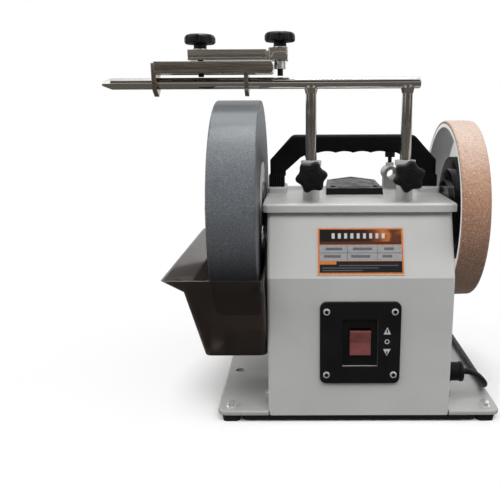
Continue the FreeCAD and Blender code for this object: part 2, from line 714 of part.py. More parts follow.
def inner_flange():
    x0 = STONE_RIGHT + LABEL_T
    disc = rod_x(FLANGE_R, x0, x0 + 2.6)
    rim = [e for e in disc.Edges if len(e.Vertexes) == 1 and e.BoundBox.XMin > x0 + 1]
    disc = disc.makeFillet(1.0, rim)
    hub = rod_x(COLLAR_R, x0 + 2.6, -WALL_X - 2.1)
    return fuse(disc, hub).cut(rod_x(SHAFT_R + SEAT, x0 - 1, -90))


def outer_flange():
    x1 = STONE_LEFT - LABEL_T
    disc = rod_x(FLANGE_R, x1 - 5, x1)
    rim = [e for e in disc.Edges if len(e.Vertexes) == 1 and e.BoundBox.XMax < x1 - 1]
    disc = disc.makeFillet(1.5, rim)
    return disc.cut(rod_x(SHAFT_R + SEAT, x1 - 9, x1 + 1))


def stone_nut():
    x1 = STONE_LEFT - LABEL_T - 5
    nut = fuse(hex_prism(19.0, (x1 - 12, 0, AXLE_Z), (10, 0, 0)), rod_x(13.0, x1 - 2, x1))
    return nut.cut(rod_x(SHAFT_R + SEAT, x1 - 13, x1 + 1))


DRIVE_RIGHT = 127.5
TYRE_T = 3.0


def drive_wheel():
    """Stepped black wheel inside the honing drum, with a seat for its tyre."""
    hub = rod_x(COLLAR_R, WALL_X + 2.1, DRIVE_RIGHT)
    steps = [rod_x(33, CAP_X + 0.7, 109), rod_x(46, 108, 112.5), rod_x(DRIVE_R - TYRE_T, 112, DRIVE_RIGHT)]
    body = fuse(hub, *steps)
    return body.cut(rod_x(SHAFT_R + SEAT, 90, 140))


def drive_tyre():
    return tube_x(DRIVE_R, DRIVE_R - TYRE_T, 112, DRIVE_RIGHT)


def honing_drum():
    """Cup-shaped drum, open to the casing, with ribs on its outer face."""
    rim = tube_x(DRUM_R, DRUM_R - DRUM_WALL, DRUM_LEFT, DRUM_RIGHT)
    web = rod_x(DRUM_R - 1, 128, 130.5)
    hub = rod_x(16.0, 127.6, DRUM_RIGHT)
    ribs = []
    for i in range(6):
        rib = box(130, 132, -2.5, 2.5, AXLE_Z + 12, AXLE_Z + DRUM_R - 2)
        rib.rotate(V(0, 0, AXLE_Z), V(1, 0, 0), 60 * i)
        ribs.append(rib)
    return fuse(rim, web, hub, *ribs).cut(rod_x(SHAFT_R + SEAT, 120, 140))


def leather_band():
    band = tube_x(LEATHER_R, DRUM_R, DRUM_LEFT, DRUM_RIGHT)
    edges = [e for e in band.Edges if e.BoundBox.ZLength > 2 * DRUM_R + 1 and len(e.Vertexes) == 1]
    return band.makeFillet(0.8, edges)


def honing_knob():
    """Star knob that locks the honing drum on the axle."""
    grip = lobed_knob(6, 24.0, 18.5, (138.0, 0, AXLE_Z), (15, 0, 0), 2.5)
    hub = rod_x(11.0, DRUM_RIGHT + 0.05, 138.0)
    return fuse(grip, hub).cut(rod_x(SHAFT_R + SEAT, 130, AXLE_RIGHT + 0.1))


# Motor on its swinging cradle -----------------------------------------------------------------

CRADLE_LEFT = -64.0
CRADLE_RIGHT = 71.0
CRADLE_T = 3.0
SPRING_Y = 56.0
SPRING_LOW = 62.0
SPRING_HIGH = 102.0


def motor_stator():
    """Steel can with the laminated core pressed in."""
    can = tube_x(MOTOR_R, MOTOR_R - 2, -45, 55, MOTOR_Y, MOTOR_Z)
    core = tube_x(MOTOR_R - 1, 29.0, -30, 42, MOTOR_Y, MOTOR_Z)
    return fuse(can, core)


def motor_end_bells():
    """Two caps that close the can and hold the rotor's bearings."""
    right = Part.makeCone(MOTOR_R, 30.0, 15, V(55, MOTOR_Y, MOTOR_Z), V(1, 0, 0))
    nose = rod_x(11.9, 70, 76, MOTOR_Y, MOTOR_Z)
    hollow = Part.makeCone(MOTOR_R - 3, 26.0, 12, V(54, MOTOR_Y, MOTOR_Z), V(1, 0, 0))
    right = fuse(right, nose).cut([hollow, rod_x(9.0, 60, 80, MOTOR_Y, MOTOR_Z)])
    middle = 5.0
    left = right.mirror(V(middle, 0, 0), V(1, 0, 0))
    return Part.makeCompound([right, left])


def motor_bearings():
    right = tube_x(8.98, 5.0 + RUNNING, 68, 76, MOTOR_Y, MOTOR_Z)
    left = tube_x(8.98, 5.0 + RUNNING, -66, -58, MOTOR_Y, MOTOR_Z)
    return Part.makeCompound([right, left])


def motor_rotor():
    core = rod_x(28.3, -28, 40, MOTOR_Y, MOTOR_Z)
    return core.cut(rod_x(5.0 + SEAT, -30, 42, MOTOR_Y, MOTOR_Z))


def motor_shaft():
    """Shaft whose right end is the roller that drives the tyre."""
    thick = rod_x(5.0, -84, 108, MOTOR_Y, MOTOR_Z)
    roller = rod_x(ROLLER_R, 108, 127.2, MOTOR_Y, MOTOR_Z)
    return fuse(thick, roller)


def cooling_fan():
    """Radial fan on the motor's left end."""
    hub = rod_x(12, -82, -72, MOTOR_Y, MOTOR_Z)
    disc = rod_x(36, -74, -72, MOTOR_Y, MOTOR_Z)
    blades = []
    for i in range(8):
        blade = box(-82, -73.5, MOTOR_Y - 0.8, MOTOR_Y + 0.8, MOTOR_Z + 11, MOTOR_Z + 35)
        blade.rotate(V(0, MOTOR_Y, MOTOR_Z), V(1, 0, 0), 45 * i)
        blades.append(blade)
    return fuse(hub, disc, *blades).cut(rod_x(5.0 + SEAT, -90, -70, MOTOR_Y, MOTOR_Z))


def cradle_cheek(x0):
    """End plate joining the pivot, the motor's nose and the spring's foot."""
    outline = [
        (x0, PIVOT_Y - 11, PIVOT_Z + 4), (x0, PIVOT_Y - 4, PIVOT_Z + 11), (x0, MOTOR_Y - 14, MOTOR_Z + 22),
        (x0, MOTOR_Y + 14, MOTOR_Z + 22), (x0, MOTOR_Y + 30, MOTOR_Z), (x0, SPRING_Y + 11, SPRING_HIGH + 8),
        (x0, SPRING_Y + 11, SPRING_HIGH), (x0, SPRING_Y - 11, SPRING_HIGH), (x0, MOTOR_Y - 8,
            SPRING_HIGH + 8),
        (x0, PIVOT_Y - 4, PIVOT_Z - 11), (x0, PIVOT_Y - 11, PIVOT_Z - 4),
    ]
    plate = prism(outline, (CRADLE_T, 0, 0))
    return plate.cut([rod_x(12.0, x0 - 1, x0 + 9, MOTOR_Y, MOTOR_Z)])


def motor_cradle():
    """Two cheeks, a tube round the pivot and a strap over the spring."""
    left = cradle_cheek(CRADLE_LEFT)
    right = cradle_cheek(CRADLE_RIGHT)
    tube = rod_x(8.0, CRADLE_LEFT, CRADLE_RIGHT + CRADLE_T, PIVOT_Y, PIVOT_Z)
    strap = box(CRADLE_LEFT, CRADLE_RIGHT + CRADLE_T, SPRING_Y - 11, SPRING_Y + 11, SPRING_HIGH,
        SPRING_HIGH + 3)
    bore = rod_x(PIVOT_R + RUNNING, CRADLE_LEFT - 5, CRADLE_RIGHT + 9, PIVOT_Y, PIVOT_Z)
    return fuse(left, right, tube, strap).cut(bore)


def pivot_brackets():
    """Angles on the inside of the front wall that hold the pivot pin."""
    brackets = []
    inside = FRONT_Y + SHEET
    for x0 in (-72.0, 80.0):
        web = box(x0, x0 + 4, inside, PIVOT_Y + 10, PIVOT_Z - 12, PIVOT_Z + 12)
        flange = box(x0 - 6, x0 + 10, inside, inside + 3, PIVOT_Z - 18, PIVOT_Z + 18)
        brackets.append(fuse(web, flange).cut(rod_x(PIVOT_R + SEAT, x0 - 1, x0 + 5, PIVOT_Y, PIVOT_Z)))
    return Part.makeCompound(brackets)


def pivot_pin():
    return rod_x(PIVOT_R, -76, 88, PIVOT_Y, PIVOT_Z)


def spring_bracket():
    """Shelf on the rear wall under the spring."""
    inside = REAR_Y - SHEET
    shelf = box(-16, 16, SPRING_Y - 12, inside, SPRING_LOW - 3, SPRING_LOW)
    flange = box(-16, 16, inside - 3, inside, SPRING_LOW - 28, SPRING_LOW)
    return fuse(shelf, flange)


def motor_spring():
    """Compression spring that presses the roller on the tyre."""
    wire_r = 1.4
    coil_r = 8.5
    turns = 6
    low = SPRING_LOW + wire_r + 0.05
    high = SPRING_HIGH - wire_r - 0.05
    helix = Part.makeHelix((high - low) / turns, high - low, coil_r)
    helix.translate(V(0, SPRING_Y, low))
    start = V(coil_r, SPRING_Y, low)
    ring = Part.Wire(Part.makeCircle(wire_r, start, V(0, 1, 0)))
    return Part.Wire(helix.Edges).makePipeShell([ring], True, True)


def run_capacitor():
    """Motor capacitor lying on the plate."""
    y = -76.0
    z = PLATE_TOP + 17.0
    body = rod_x(17.0, -70, -5, y, z)
    rims = [e for e in body.Edges if len(e.Vertexes) == 1]
    body = body.makeFillet(2.0, rims)
    tags = [box(-5.2, 4, y + side - 0.4, y + side + 0.4, z - 3, z + 3) for side in (-6, 6)]
    return fuse(body, *tags)


# Water tank -----------------------------------------------------------------------------------

TANK_RIGHT = -100.0
TANK_LEVELS = (             # height, left side, half length, corner radius
    (77.0, -168.0, 96.0, 8.0),
    (157.5, -182.5, 128.0, 7.0),
    (TANK_RIM_Z, -202.0, 140.0, 5.0),
)


def tank_body(inset, lift):
    """Stack of lofts through the tank's levels, moved inwards and with its floor lifted."""
    loops = []
    for i, (z, left, half, r) in enumerate(TANK_LEVELS):
        level = z + (lift if i == 0 else 0)
        right = TANK_RIGHT - inset
        loops.append(rounded_loop(left + inset, right, -half + inset, half - inset, level,
            max(r - inset, 1.5)))
    lower = Part.makeLoft(loops[:2], True, True)
    upper = Part.makeLoft(loops[1:], True, True)
    return lower, upper


def tank_ear(y):
    """Upright tab with a hooked slot that hangs on a stud."""
    x0 = TANK_RIGHT - TANK_WALL
    tab = rod_x(11.0, x0, TANK_RIGHT, y, STUD_Z)
    stem = box(x0, TANK_RIGHT, y - 11, y + 11, TANK_RIM_Z - 8, STUD_Z)
    slot_r = 4.3
    seat = rod_x(slot_r, x0 - 1, TANK_RIGHT + 1, y, STUD_Z)
    drop = box(x0 - 1, TANK_RIGHT + 1, y - slot_r, y + slot_r, STUD_Z - 8, STUD_Z)
    corner = rod_x(slot_r, x0 - 1, TANK_RIGHT + 1, y, STUD_Z - 8)
    mouth = box(x0 - 1, TANK_RIGHT + 1, y - 15, y, STUD_Z - 8 - slot_r, STUD_Z - 8 + slot_r)
    return fuse(tab, stem).cut([seat, drop, corner, mouth])


def water_tank():
    outer_low, outer_high = tank_body(0, 0)
    inner_low, inner_high = tank_body(TANK_WALL, TANK_WALL + 0.5)
    shell = fuse(outer_low, outer_high).cut(inner_low).cut(inner_high)
    return fuse(shell, tank_ear(-STUD_Y), tank_ear(STUD_Y))


def tank_studs():
    studs = []
    for y in (-STUD_Y, STUD_Y):
        shank = rod_x(3.0, -WALL_X, -WALL_X + 8, y, STUD_Z)
        stem = rod_x(4.0, -103.2, -WALL_X, y, STUD_Z)
        disc = rod_x(14.0, -105.6, -103.2, y, STUD_Z)
        rim = [e for e in disc.Edges if len(e.Vertexes) == 1]
        studs.append(fuse(shank, stem, disc.makeFillet(0.8, rim)))
    return Part.makeCompound(studs)


# Universal support ----------------------------------------------------------------------------

CONE_L = 10.0


def universal_support():
    """Weldment of a pointed cross bar and two legs."""
    straight = rod_x(BAR_R, BAR_TIP + CONE_L, BAR_RIGHT, LEG_Y, BAR_Z)
    end = [e for e in straight.Edges if len(e.Vertexes) == 1 and e.BoundBox.XMin > 0]
    straight = straight.makeChamfer(1.2, end)
    tip = Part.makeCone(BAR_R, 2.2, CONE_L, V(BAR_TIP + CONE_L, LEG_Y, BAR_Z), V(-1, 0, 0))
    rod = rod_z(BAR_R, 206, BAR_Z, LEG_X, LEG_Y)
    end = [e for e in rod.Edges if len(e.Vertexes) == 1 and e.BoundBox.ZMax < 210]
    rod = rod.makeChamfer(1.0, end)
    bead = cone_z(BAR_R, 7.4, BAR_Z - 11, BAR_Z - 5, LEG_X, LEG_Y)
    return fuse(straight, tip, rod, bead, mirror_x(rod), mirror_x(bead))


# Straight-edge jig ----------------------------------------------------------------------------

JIG_FRONT = LEG_Y - 18
JIG_REAR = LEG_Y + 18
JIG_TOP = 386.5
CLAMP_Z = 388.0
BUSH_R = 8.0
EARS = ((-219.0, -214.0), (-122.0, -117.5))


def jig_lower_plate():
    plate = box(-214.5, -91.0, JIG_FRONT, JIG_REAR, JIG_Z, JIG_TOP)
    ends = [e for e in plate.Edges if e.BoundBox.YLength > 30 and e.BoundBox.XMin > -100]
    plate = plate.makeFillet(4.0, ends)
    plate = plate.cut(box(-200, -110, JIG_FRONT + 6, JIG_REAR - 6, JIG_Z - 1, JIG_Z + 5))
    pieces = [plate]
    for x0, x1 in EARS:
        pieces.append(rod_x(11.0, x0, x1, LEG_Y, BAR_Z))
        point = [(x0, LEG_Y - 7, BAR_Z - 8), (x0, LEG_Y, BAR_Z - 13.5), (x0, LEG_Y + 7, BAR_Z - 8)]
        pieces.append(prism(point, (x1 - x0, 0, 0)))
        pieces.append(box(x0, x1, LEG_Y - 11, LEG_Y + 11, BAR_Z, JIG_TOP - 1.0))
    whole = fuse(*pieces)
    bores = [rod_x(BUSH_R + RUNNING, x0 - 1, x1 + 1, LEG_Y, BAR_Z) for x0, x1 in EARS]
    bores.append(rod_z(3.0 + RUNNING, JIG_Z - 1, JIG_TOP + 1, JIG_BOLT_LEFT, LEG_Y))
    return whole.cut(bores)


def jig_bushes():
    """Thin liners between the jig's ears and the bar."""
    return Part.makeCompound([tube_x(BUSH_R, BAR_R + RUNNING, x0, x1, LEG_Y, BAR_Z) for x0, x1 in EARS])


def jig_clamp_bar():
    """Upper jaw: a long bar with a thicker block at its right end."""
    bar = box(-179.5, -98, LEG_Y - 14, LEG_Y + 14, CLAMP_Z, 398.5)
    groove = box(-181, -97.5, LEG_Y - 15, LEG_Y - 13, 390.8, 392.0)
    waist = box(-98.5, -95.5, LEG_Y - 13, LEG_Y + 13, CLAMP_Z, 397.0)
    block = rounded_box(-96, -76, LEG_Y - 13, LEG_Y + 13, CLAMP_Z, 400.5, 2.0, 1.0)
    bump_y = LEG_Y - 16
    bump = prism([(-93, bump_y, 390.5), (-90, bump_y, 396.0), (-79, bump_y, 396.0), (-75.6, bump_y, 392.0),
                  (-78, bump_y, CLAMP_Z), (-91, bump_y, CLAMP_Z)], (0, 6, 0))
    whole = fuse(bar.cut(groove), waist, block, bump)
    bores = [rod_z(3.0 + RUNNING, 380, 410, x, LEG_Y) for x in (JIG_BOLT_LEFT, JIG_BOLT_RIGHT)]
    return whole.cut(bores)


def mushroom_knob(x, foot_z, brim_z, top_z):
    """Domed grip with shallow lobes on a round neck."""
    r = 16.2
    arc_mid = (r - 1.2, top_z - 2.0)
    outline = [
        Part.makeLine(V(0, 0, foot_z), V(6.8, 0, foot_z)),
        Part.makeLine(V(6.8, 0, foot_z), V(6.8, 0, brim_z)),
        Part.makeLine(V(6.8, 0, brim_z), V(r - 1.4, 0, brim_z)),
        Part.makeLine(V(r - 1.4, 0, brim_z), V(r, 0, brim_z + 1.6)),
        Part.makeLine(V(r, 0, brim_z + 1.6), V(r, 0, top_z - 5.5)),
        Part.Arc(V(r, 0, top_z - 5.5), V(arc_mid[0], 0, arc_mid[1]), V(r - 5.0, 0, top_z - 0.5)).toShape(),
        Part.makeLine(V(r - 5.0, 0, top_z - 0.5), V(0, 0, top_z)),
        Part.makeLine(V(0, 0, top_z), V(0, 0, foot_z)),
    ]
    body = Part.Face(Part.Wire(outline)).revolve(V(0, 0, 0), V(0, 0, 1), 360)
    flutes = []
    for i in range(8):
        angle = math.radians(45 * i)
        reach = r + 3.2
        flutes.append(rod_z(4.6, brim_z - 1, top_z + 1, reach * math.cos(angle), reach * math.sin(angle)))
    body = body.cut(flutes)
    body.translate(V(x, LEG_Y, 0))
    return body


def jig_knob(x, foot_z, lift, stud_low):
    """Knob set: grip, steel stud and the washer under it."""
    stud = rod_z(3.0, stud_low, foot_z + 8, x, LEG_Y)
    grip = mushroom_knob(x, foot_z, foot_z + 5.1, foot_z + 15.1 + lift).cut(stud)
    washer = tube_z(8.4, 3.0 + SEAT, foot_z - 1.3, foot_z, x, LEG_Y)
    return [grip, stud, washer]


def jig_left_knob():
    return Part.makeCompound(jig_knob(JIG_BOLT_LEFT, 399.9, 0.0, BAR_Z + BAR_R + 0.6))


def jig_right_knob():
    """The right-hand set has a stop nut on its stud, below the clamp."""
    pieces = jig_knob(JIG_BOLT_RIGHT, 401.9, 0.0, BAR_Z + BAR_R + 1.5)
    nut = tube_z(6.4, 3.0 + SEAT, 379.5, CLAMP_Z - 0.1, JIG_BOLT_RIGHT, LEG_Y)
    return Part.makeCompound(pieces + [nut])


# Files ----------------------------------------------------------------------------------------

def write(name, shape):
    shape.exportStep(os.path.join(PARTS_FOLDER, name + ".step"))


PIECES = (
    housing_shell, base_plate, bottom_cover, rubber_feet, foot_bolts, side_bolts,
    top_cap, cap_screws, vertical_sleeves, horizontal_sleeves, carry_handle, handle_screws,
    cover_plate, cover_screws, rating_plate, switch_panel, panel_screws, switch_body, rocker_button,
    cable_gland, power_cord, power_plug, run_capacitor,
    bearing_carriers, shaft_bushes, carrier_screws, main_axle, grinding_stone, stone_labels,
    inner_flange, outer_flange, stone_nut, drive_wheel, drive_tyre, honing_drum, leather_band, honing_knob,
    motor_stator, motor_end_bells, motor_bearings, motor_rotor, motor_shaft, cooling_fan,
    motor_cradle, pivot_brackets, pivot_pin, spring_bracket, motor_spring,
    water_tank, tank_studs, universal_support, jig_lower_plate, jig_bushes, jig_clamp_bar,
    jig_left_knob, jig_right_knob,
)


if __name__ == "__main__":
    os.makedirs(PARTS_FOLDER, exist_ok=True)
    for make in PIECES:
        write(make.__name__, make())
    write("right_star_knob", star_knob())
    write("left_star_knob", mirror_x(star_knob()))
    write("right_rear_screw", rear_thumb_screw())
    write("left_rear_screw", mirror_x(rear_thumb_screw()))
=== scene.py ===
import json
import math

import bpy
from mathutils import Euler, Matrix, Vector, noise


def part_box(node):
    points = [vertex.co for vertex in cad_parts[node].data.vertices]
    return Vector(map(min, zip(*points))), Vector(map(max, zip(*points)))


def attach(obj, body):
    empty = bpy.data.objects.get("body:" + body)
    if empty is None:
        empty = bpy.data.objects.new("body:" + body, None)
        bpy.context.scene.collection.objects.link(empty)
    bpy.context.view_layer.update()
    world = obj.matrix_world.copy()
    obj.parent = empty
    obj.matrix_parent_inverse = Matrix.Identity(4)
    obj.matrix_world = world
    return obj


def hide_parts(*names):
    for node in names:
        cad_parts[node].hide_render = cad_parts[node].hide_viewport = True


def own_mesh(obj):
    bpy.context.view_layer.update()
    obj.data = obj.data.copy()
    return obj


# Looks and finer pieces for a wet grinding sharpener, in metres, in the axes of its CAD frame.

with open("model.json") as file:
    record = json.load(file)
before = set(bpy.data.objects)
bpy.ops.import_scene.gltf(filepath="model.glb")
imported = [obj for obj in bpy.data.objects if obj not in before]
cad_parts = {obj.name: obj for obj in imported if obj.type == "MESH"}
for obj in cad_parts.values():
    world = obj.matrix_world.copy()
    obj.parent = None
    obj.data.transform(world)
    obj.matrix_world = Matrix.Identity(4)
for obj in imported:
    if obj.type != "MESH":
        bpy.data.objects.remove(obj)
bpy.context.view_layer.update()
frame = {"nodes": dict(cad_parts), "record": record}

MM = 0.001
EVEN = (1.0, 1.0, 1.0)
NODES = frame["nodes"]
BODY_OF = {node: body for body, nodes in frame["record"]["behaviour"]["bodies"].items() for node in nodes}
SLOT_OF = {part["node"]: part["material_slot"] for part in frame["record"]["subparts"]}


# Shader building ------------------------------------------------------------------------------

class Nodes:
    """A node tree being built; each method adds nodes and returns an output socket."""

    def __init__(self, tree, place):
        self.nodes = tree.nodes
        self.links = tree.links
        self.place = self.add("ShaderNodeTexCoord").outputs[place]

    def add(self, kind):
        return self.nodes.new(kind)

    def shade(self, kind, **inputs):
        """A shader node with its inputs linked or set by name."""
        node = self.add(kind)
        for name, value in inputs.items():
            self.put(node.inputs[name], value)
        return node.outputs[0]

    def blend_shaders(self, share, first, second):
        node = self.add("ShaderNodeMixShader")
        self.put(node.inputs["Fac"], share)
        self.links.new(first, node.inputs[1])
        self.links.new(second, node.inputs[2])
        return node.outputs["Shader"]

    def put(self, socket, value):
        """Links a socket, or sets a plain number or colour."""
        if isinstance(value, bpy.types.NodeSocket):
            self.links.new(value, socket)
        elif isinstance(value, tuple) and len(value) == 3 and len(socket.default_value) == 4:
            socket.default_value = value + (1.0,)
        else:
            socket.default_value = value

    def stretched(self, scale):
        mapping = self.add("ShaderNodeMapping")
        self.links.new(self.place, mapping.inputs["Vector"])
        mapping.inputs["Scale"].default_value = scale
        return mapping.outputs["Vector"]

    def noise(self, size_mm, detail=3.0, roughness=0.55, stretch=EVEN, distortion=0.0):
        node = self.add("ShaderNodeTexNoise")
        node.inputs["Scale"].default_value = 1.0 / (size_mm * MM)
        node.inputs["Detail"].default_value = detail
        node.inputs["Roughness"].default_value = roughness
        node.inputs["Distortion"].default_value = distortion
        self.links.new(self.stretched(stretch), node.inputs["Vector"])
        return node.outputs["Fac"]

    def cells(self, size_mm, feature="F1", stretch=EVEN):
        node = self.add("ShaderNodeTexVoronoi")
        node.feature = feature
        node.inputs["Scale"].default_value = 1.0 / (size_mm * MM)
        self.links.new(self.stretched(stretch), node.inputs["Vector"])
        return node.outputs["Distance"]

    def ramp(self, value, *stops):
        """Colour ramp; each stop is (position, colour)."""
        node = self.add("ShaderNodeValToRGB")
        self.links.new(value, node.inputs["Fac"])
        while len(node.color_ramp.elements) < len(stops):
            node.color_ramp.elements.new(1.0)
        for element, (position, colour) in zip(node.color_ramp.elements, stops):
            element.position = position
            element.color = colour + (1.0,)
        return node.outputs["Color"]

    def spread(self, value, low, high, new_low=0.0, new_high=1.0):
        """Maps low..high smoothly onto new_low..new_high."""
        node = self.add("ShaderNodeMapRange")
        node.interpolation_type = "SMOOTHSTEP"
        ends = {"From Min": low, "From Max": high, "To Min": new_low, "To Max": new_high}
        for socket, number in ends.items():
            node.inputs[socket].default_value = number
        self.links.new(value, node.inputs["Value"])
        return node.outputs["Result"]

    def mix(self, share, first, second):
        """Blends two colours; input 6, input 7 and output 2 are the node's colour sockets."""
        node = self.add("ShaderNodeMix")
        node.data_type = "RGBA"
        self.put(node.inputs["Factor"], share)
        self.put(node.inputs[6], first)
        self.put(node.inputs[7], second)
        return node.outputs[2]

    def calc(self, operation, first, second=0.0):
        node = self.add("ShaderNodeMath")
        node.operation = operation
        self.put(node.inputs[0], first)
        self.put(node.inputs[1], second)
        return node.outputs["Value"]

    def product(self, first, *others):
        for other in others:
            first = self.calc("MULTIPLY", first, other)
        return first

    def highest(self, first, *others):
        for other in others:
            first = self.calc("MAXIMUM", first, other)
        return first

    def part(self, vector, name):
        node = self.add("ShaderNodeSeparateXYZ")
        self.links.new(vector, node.inputs["Vector"])
        return node.outputs[name]

    def axis(self, name):
        return self.part(self.place, name)

    def facing(self, name):
        """One part of the surface's own direction: Z is 1 on level tops."""
        return self.part(self.add("ShaderNodeNewGeometry").outputs["Normal"], name)

    def rounded(self, radius_mm):
        """The surface's direction, with its edges rounded off."""
        bevel = self.add("ShaderNodeBevel")
        bevel.samples = 4
        bevel.inputs["Radius"].default_value = radius_mm * MM
        return bevel.outputs["Normal"]

    def edges(self, radius_mm):
        """Near 1 along sharp edges, 0 on open faces."""
        dot = self.add("ShaderNodeVectorMath")
        dot.operation = "DOT_PRODUCT"
        self.links.new(self.rounded(radius_mm), dot.inputs[0])
        self.links.new(self.add("ShaderNodeNewGeometry").outputs["Normal"], dot.inputs[1])
        return self.spread(dot.outputs["Value"], 0.97, 0.80)


class Shader(Nodes):
    """A procedural material on one principled surface."""

    def __init__(self, name, roughness=0.5, metallic=0.0, coat=0.0):
        self.name = name
        self.material = bpy.data.materials.new(name)
        self.material.use_nodes = True
        super().__init__(self.material.node_tree, "Object")
        self.surface = self.nodes["Principled BSDF"]
        self.set("Roughness", roughness)
        self.set("Metallic", metallic)
        self.set("Coat Weight", coat)
        self.set("Coat Roughness", 0.12)

    def set(self, name, value):
        self.put(self.surface.inputs[name], value)
        return self

    def relief(self, height, depth_mm, round_mm=0.0):
        """Bump of a given depth, on softened edges if round_mm is set."""
        node = self.add("ShaderNodeBump")
        node.inputs["Strength"].default_value = 1.0
        node.inputs["Distance"].default_value = depth_mm * MM
        self.links.new(height, node.inputs["Height"])
        if round_mm:
            self.links.new(self.rounded(round_mm), node.inputs["Normal"])
        self.links.new(node.outputs["Normal"], self.surface.inputs["Normal"])
        return self


# Materials ------------------------------------------------------------------------------------

def grey(level, tint=EVEN):
    return tuple(level * t for t in tint)


def powder_coat(name, level, tint=(1.0, 1.0, 0.985)):
    """Satin sheet-metal paint: orange peel, soft tone drift, rubbed edges, dust specks."""
    look = Shader(name, coat=0.15)
    drift = look.noise(70, 4)
    specks = look.cells(9)
    colour = look.ramp(drift, (0.3, grey(level * 0.94, tint)), (0.7, grey(level * 1.03, tint)))
    colour = look.mix(look.spread(specks, 0.035, 0.02), colour, grey(level * 0.55))
    colour = look.mix(look.product(look.edges(0.8), 0.35), colour, grey(min(level * 1.35, 0.95), tint))
    look.set("Base Color", colour)
    look.set("Roughness", look.spread(look.noise(25, 5), 0.3, 0.7, 0.34, 0.5))
    return look.relief(look.noise(1.1, 2), 0.035, 0.7)


def inner_glow(look):
    """Painted light: a glow on faces that look towards -X, standing in for light caught inside the open left
    side of the drum.
    """
    look.set("Emission Color", (1.0, 1.0, 0.98))
    look.set("Emission Strength", look.spread(look.facing("X"), -0.5, -0.95, 0.0, 0.42))
    return look


def moulded_plastic(name, rough, colour=(0.0050, 0.0050, 0.0054), grain_mm=0.9, depth_mm=0.04):
    """Dark moulded plastic: leather-like grain, lighter rubbed edges, faint dust on tops."""
    look = Shader(name)
    look.set("Specular IOR Level", 0.3)
    grain = look.cells(grain_mm, "SMOOTH_F1")
    light = tuple(min(c * 1.9, 1.0) for c in colour)
    body = look.mix(look.spread(look.noise(30, 4), 0.35, 0.75, 0.0, 0.6), colour, light)
    dust = look.product(look.spread(look.facing("Z"), 0.7, 1.0), look.spread(look.noise(4, 5), 0.5, 0.8))
    body = look.mix(look.product(dust, 0.10), body, (0.10, 0.10, 0.095))
    body = look.mix(look.product(look.edges(0.5), 0.22), body, (0.05, 0.05, 0.052))
    look.set("Base Color", body)
    look.set("Roughness", look.spread(look.noise(12, 4), 0.3, 0.7, rough - 0.08, rough + 0.1))
    return look.relief(grain, depth_mm, 0.6)


def gloss_black():
    """Polished black wheel casting with fine turning rings and faint scuffs."""
    look = Shader("gloss_black", coat=0.3)
    look.set("Base Color", look.ramp(look.noise(18, 4), (0.3, grey(0.0035)), (0.75, grey(0.008))))
    look.set("Roughness", look.spread(look.noise(5, 6, stretch=(1, 0.3, 0.3)), 0.35, 0.75, 0.12, 0.3))
    return look.relief(look.noise(1.5, 2), 0.02, 0.5)


def bright_metal(name, level, tint, rough, drawn=EVEN, stain=0.25, depth_mm=0.012, round_mm=0.35):
    """Plated metal: drawn lines along one axis, cloudy tarnish, bright edges that are partly wear and partly
    a painted highlight.
    """
    look = Shader(name, metallic=1.0)
    lines = look.noise(0.8, 3, stretch=drawn)
    cloud = look.noise(22, 5, distortion=0.6)
    dull = grey(level * 0.62, (tint[0], tint[1] * 0.96, tint[2] * 0.88))
    colour = look.mix(look.spread(cloud, 0.45, 0.8, 0.0, stain), grey(level, tint), dull)
    # bright edges: partly wear, partly a painted edge highlight
    colour = look.mix(look.product(look.edges(0.4), 0.4), colour, grey(min(level * 1.3, 0.95)))
    look.set("Base Color", colour)
    worn_lines = look.spread(lines, 0.3, 0.7, rough * 0.7, rough * 1.25)
    dulling = look.spread(cloud, 0.5, 0.8, 0.0, rough * 0.6)
    look.set("Roughness", look.calc("ADD", worn_lines, dulling))
    return look.relief(lines, depth_mm, round_mm)


def edge_lit(look):
    """Painted highlight: edges of a plated part lose their metal so that they show pale."""
    look.set("Metallic", look.spread(look.edges(1.0), 0.3, 0.9, 1.0, 0.2))
    return look


def cast_metal(name, level, tint, rough):
    """Casting: pebbled skin, polished high spots, darker hollows."""
    look = Shader(name, metallic=0.9)
    skin = look.noise(2.2, 5, 0.65)
    hollow = grey(level * 0.6, tint)
    high_spot = grey(level * 1.2, tint)
    colour = look.ramp(skin, (0.3, hollow), (0.55, grey(level, tint)), (0.8, high_spot))
    colour = look.mix(look.product(look.edges(0.6), 0.5), colour, grey(min(level * 1.7, 0.9), tint))
    look.set("Base Color", colour)
    look.set("Roughness", look.spread(look.noise(7, 4), 0.3, 0.7, rough * 0.75, rough * 1.25))
    return look.relief(skin, 0.08, 0.5)


def stone():
    """Blue-grey bonded grit: pale and dark grains, pores, a slightly mottled body; painted shade on faces
    that look down and a painted highlight band near the top.
    """
    look = Shader("stone")
    look.set("Specular IOR Level", 0.7)
    body = look.ramp(look.noise(28, 5), (0.3, (0.103, 0.113, 0.126)), (0.7, (0.124, 0.135, 0.148)))
    fine = look.noise(1.3, 3, 0.75)
    body = look.mix(look.spread(fine, 0.53, 0.70, 0.0, 0.6), body, (0.34, 0.355, 0.37))
    body = look.mix(look.spread(fine, 0.47, 0.34, 0.0, 0.75), body, (0.040, 0.046, 0.052))
    pores = look.cells(2.3)
    body = look.mix(look.spread(pores, 0.16, 0.06, 0.0, 0.85), body, (0.026, 0.029, 0.033))
    tilt = look.facing("Z")
    # painted shade: faces that look down are darkened
    body = look.mix(look.spread(tilt, 0.35, -0.75, 0.0, 0.62), body, (0.022, 0.024, 0.027))
    # painted highlight: a pale band on faces near the top, fixed in place while the stone turns
    painted_sheen = look.product(look.spread(tilt, 0.78, 0.84, 0.0, 0.42), look.spread(tilt, 0.92, 0.87))
    body = look.mix(painted_sheen, body, (0.46, 0.48, 0.50))
    look.set("Base Color", body)
    look.set("Roughness", look.spread(fine, 0.3, 0.7, 0.36, 0.56))
    return look.relief(look.calc("SUBTRACT", fine, look.spread(pores, 0.2, 0.05)), 0.12, 0.6)


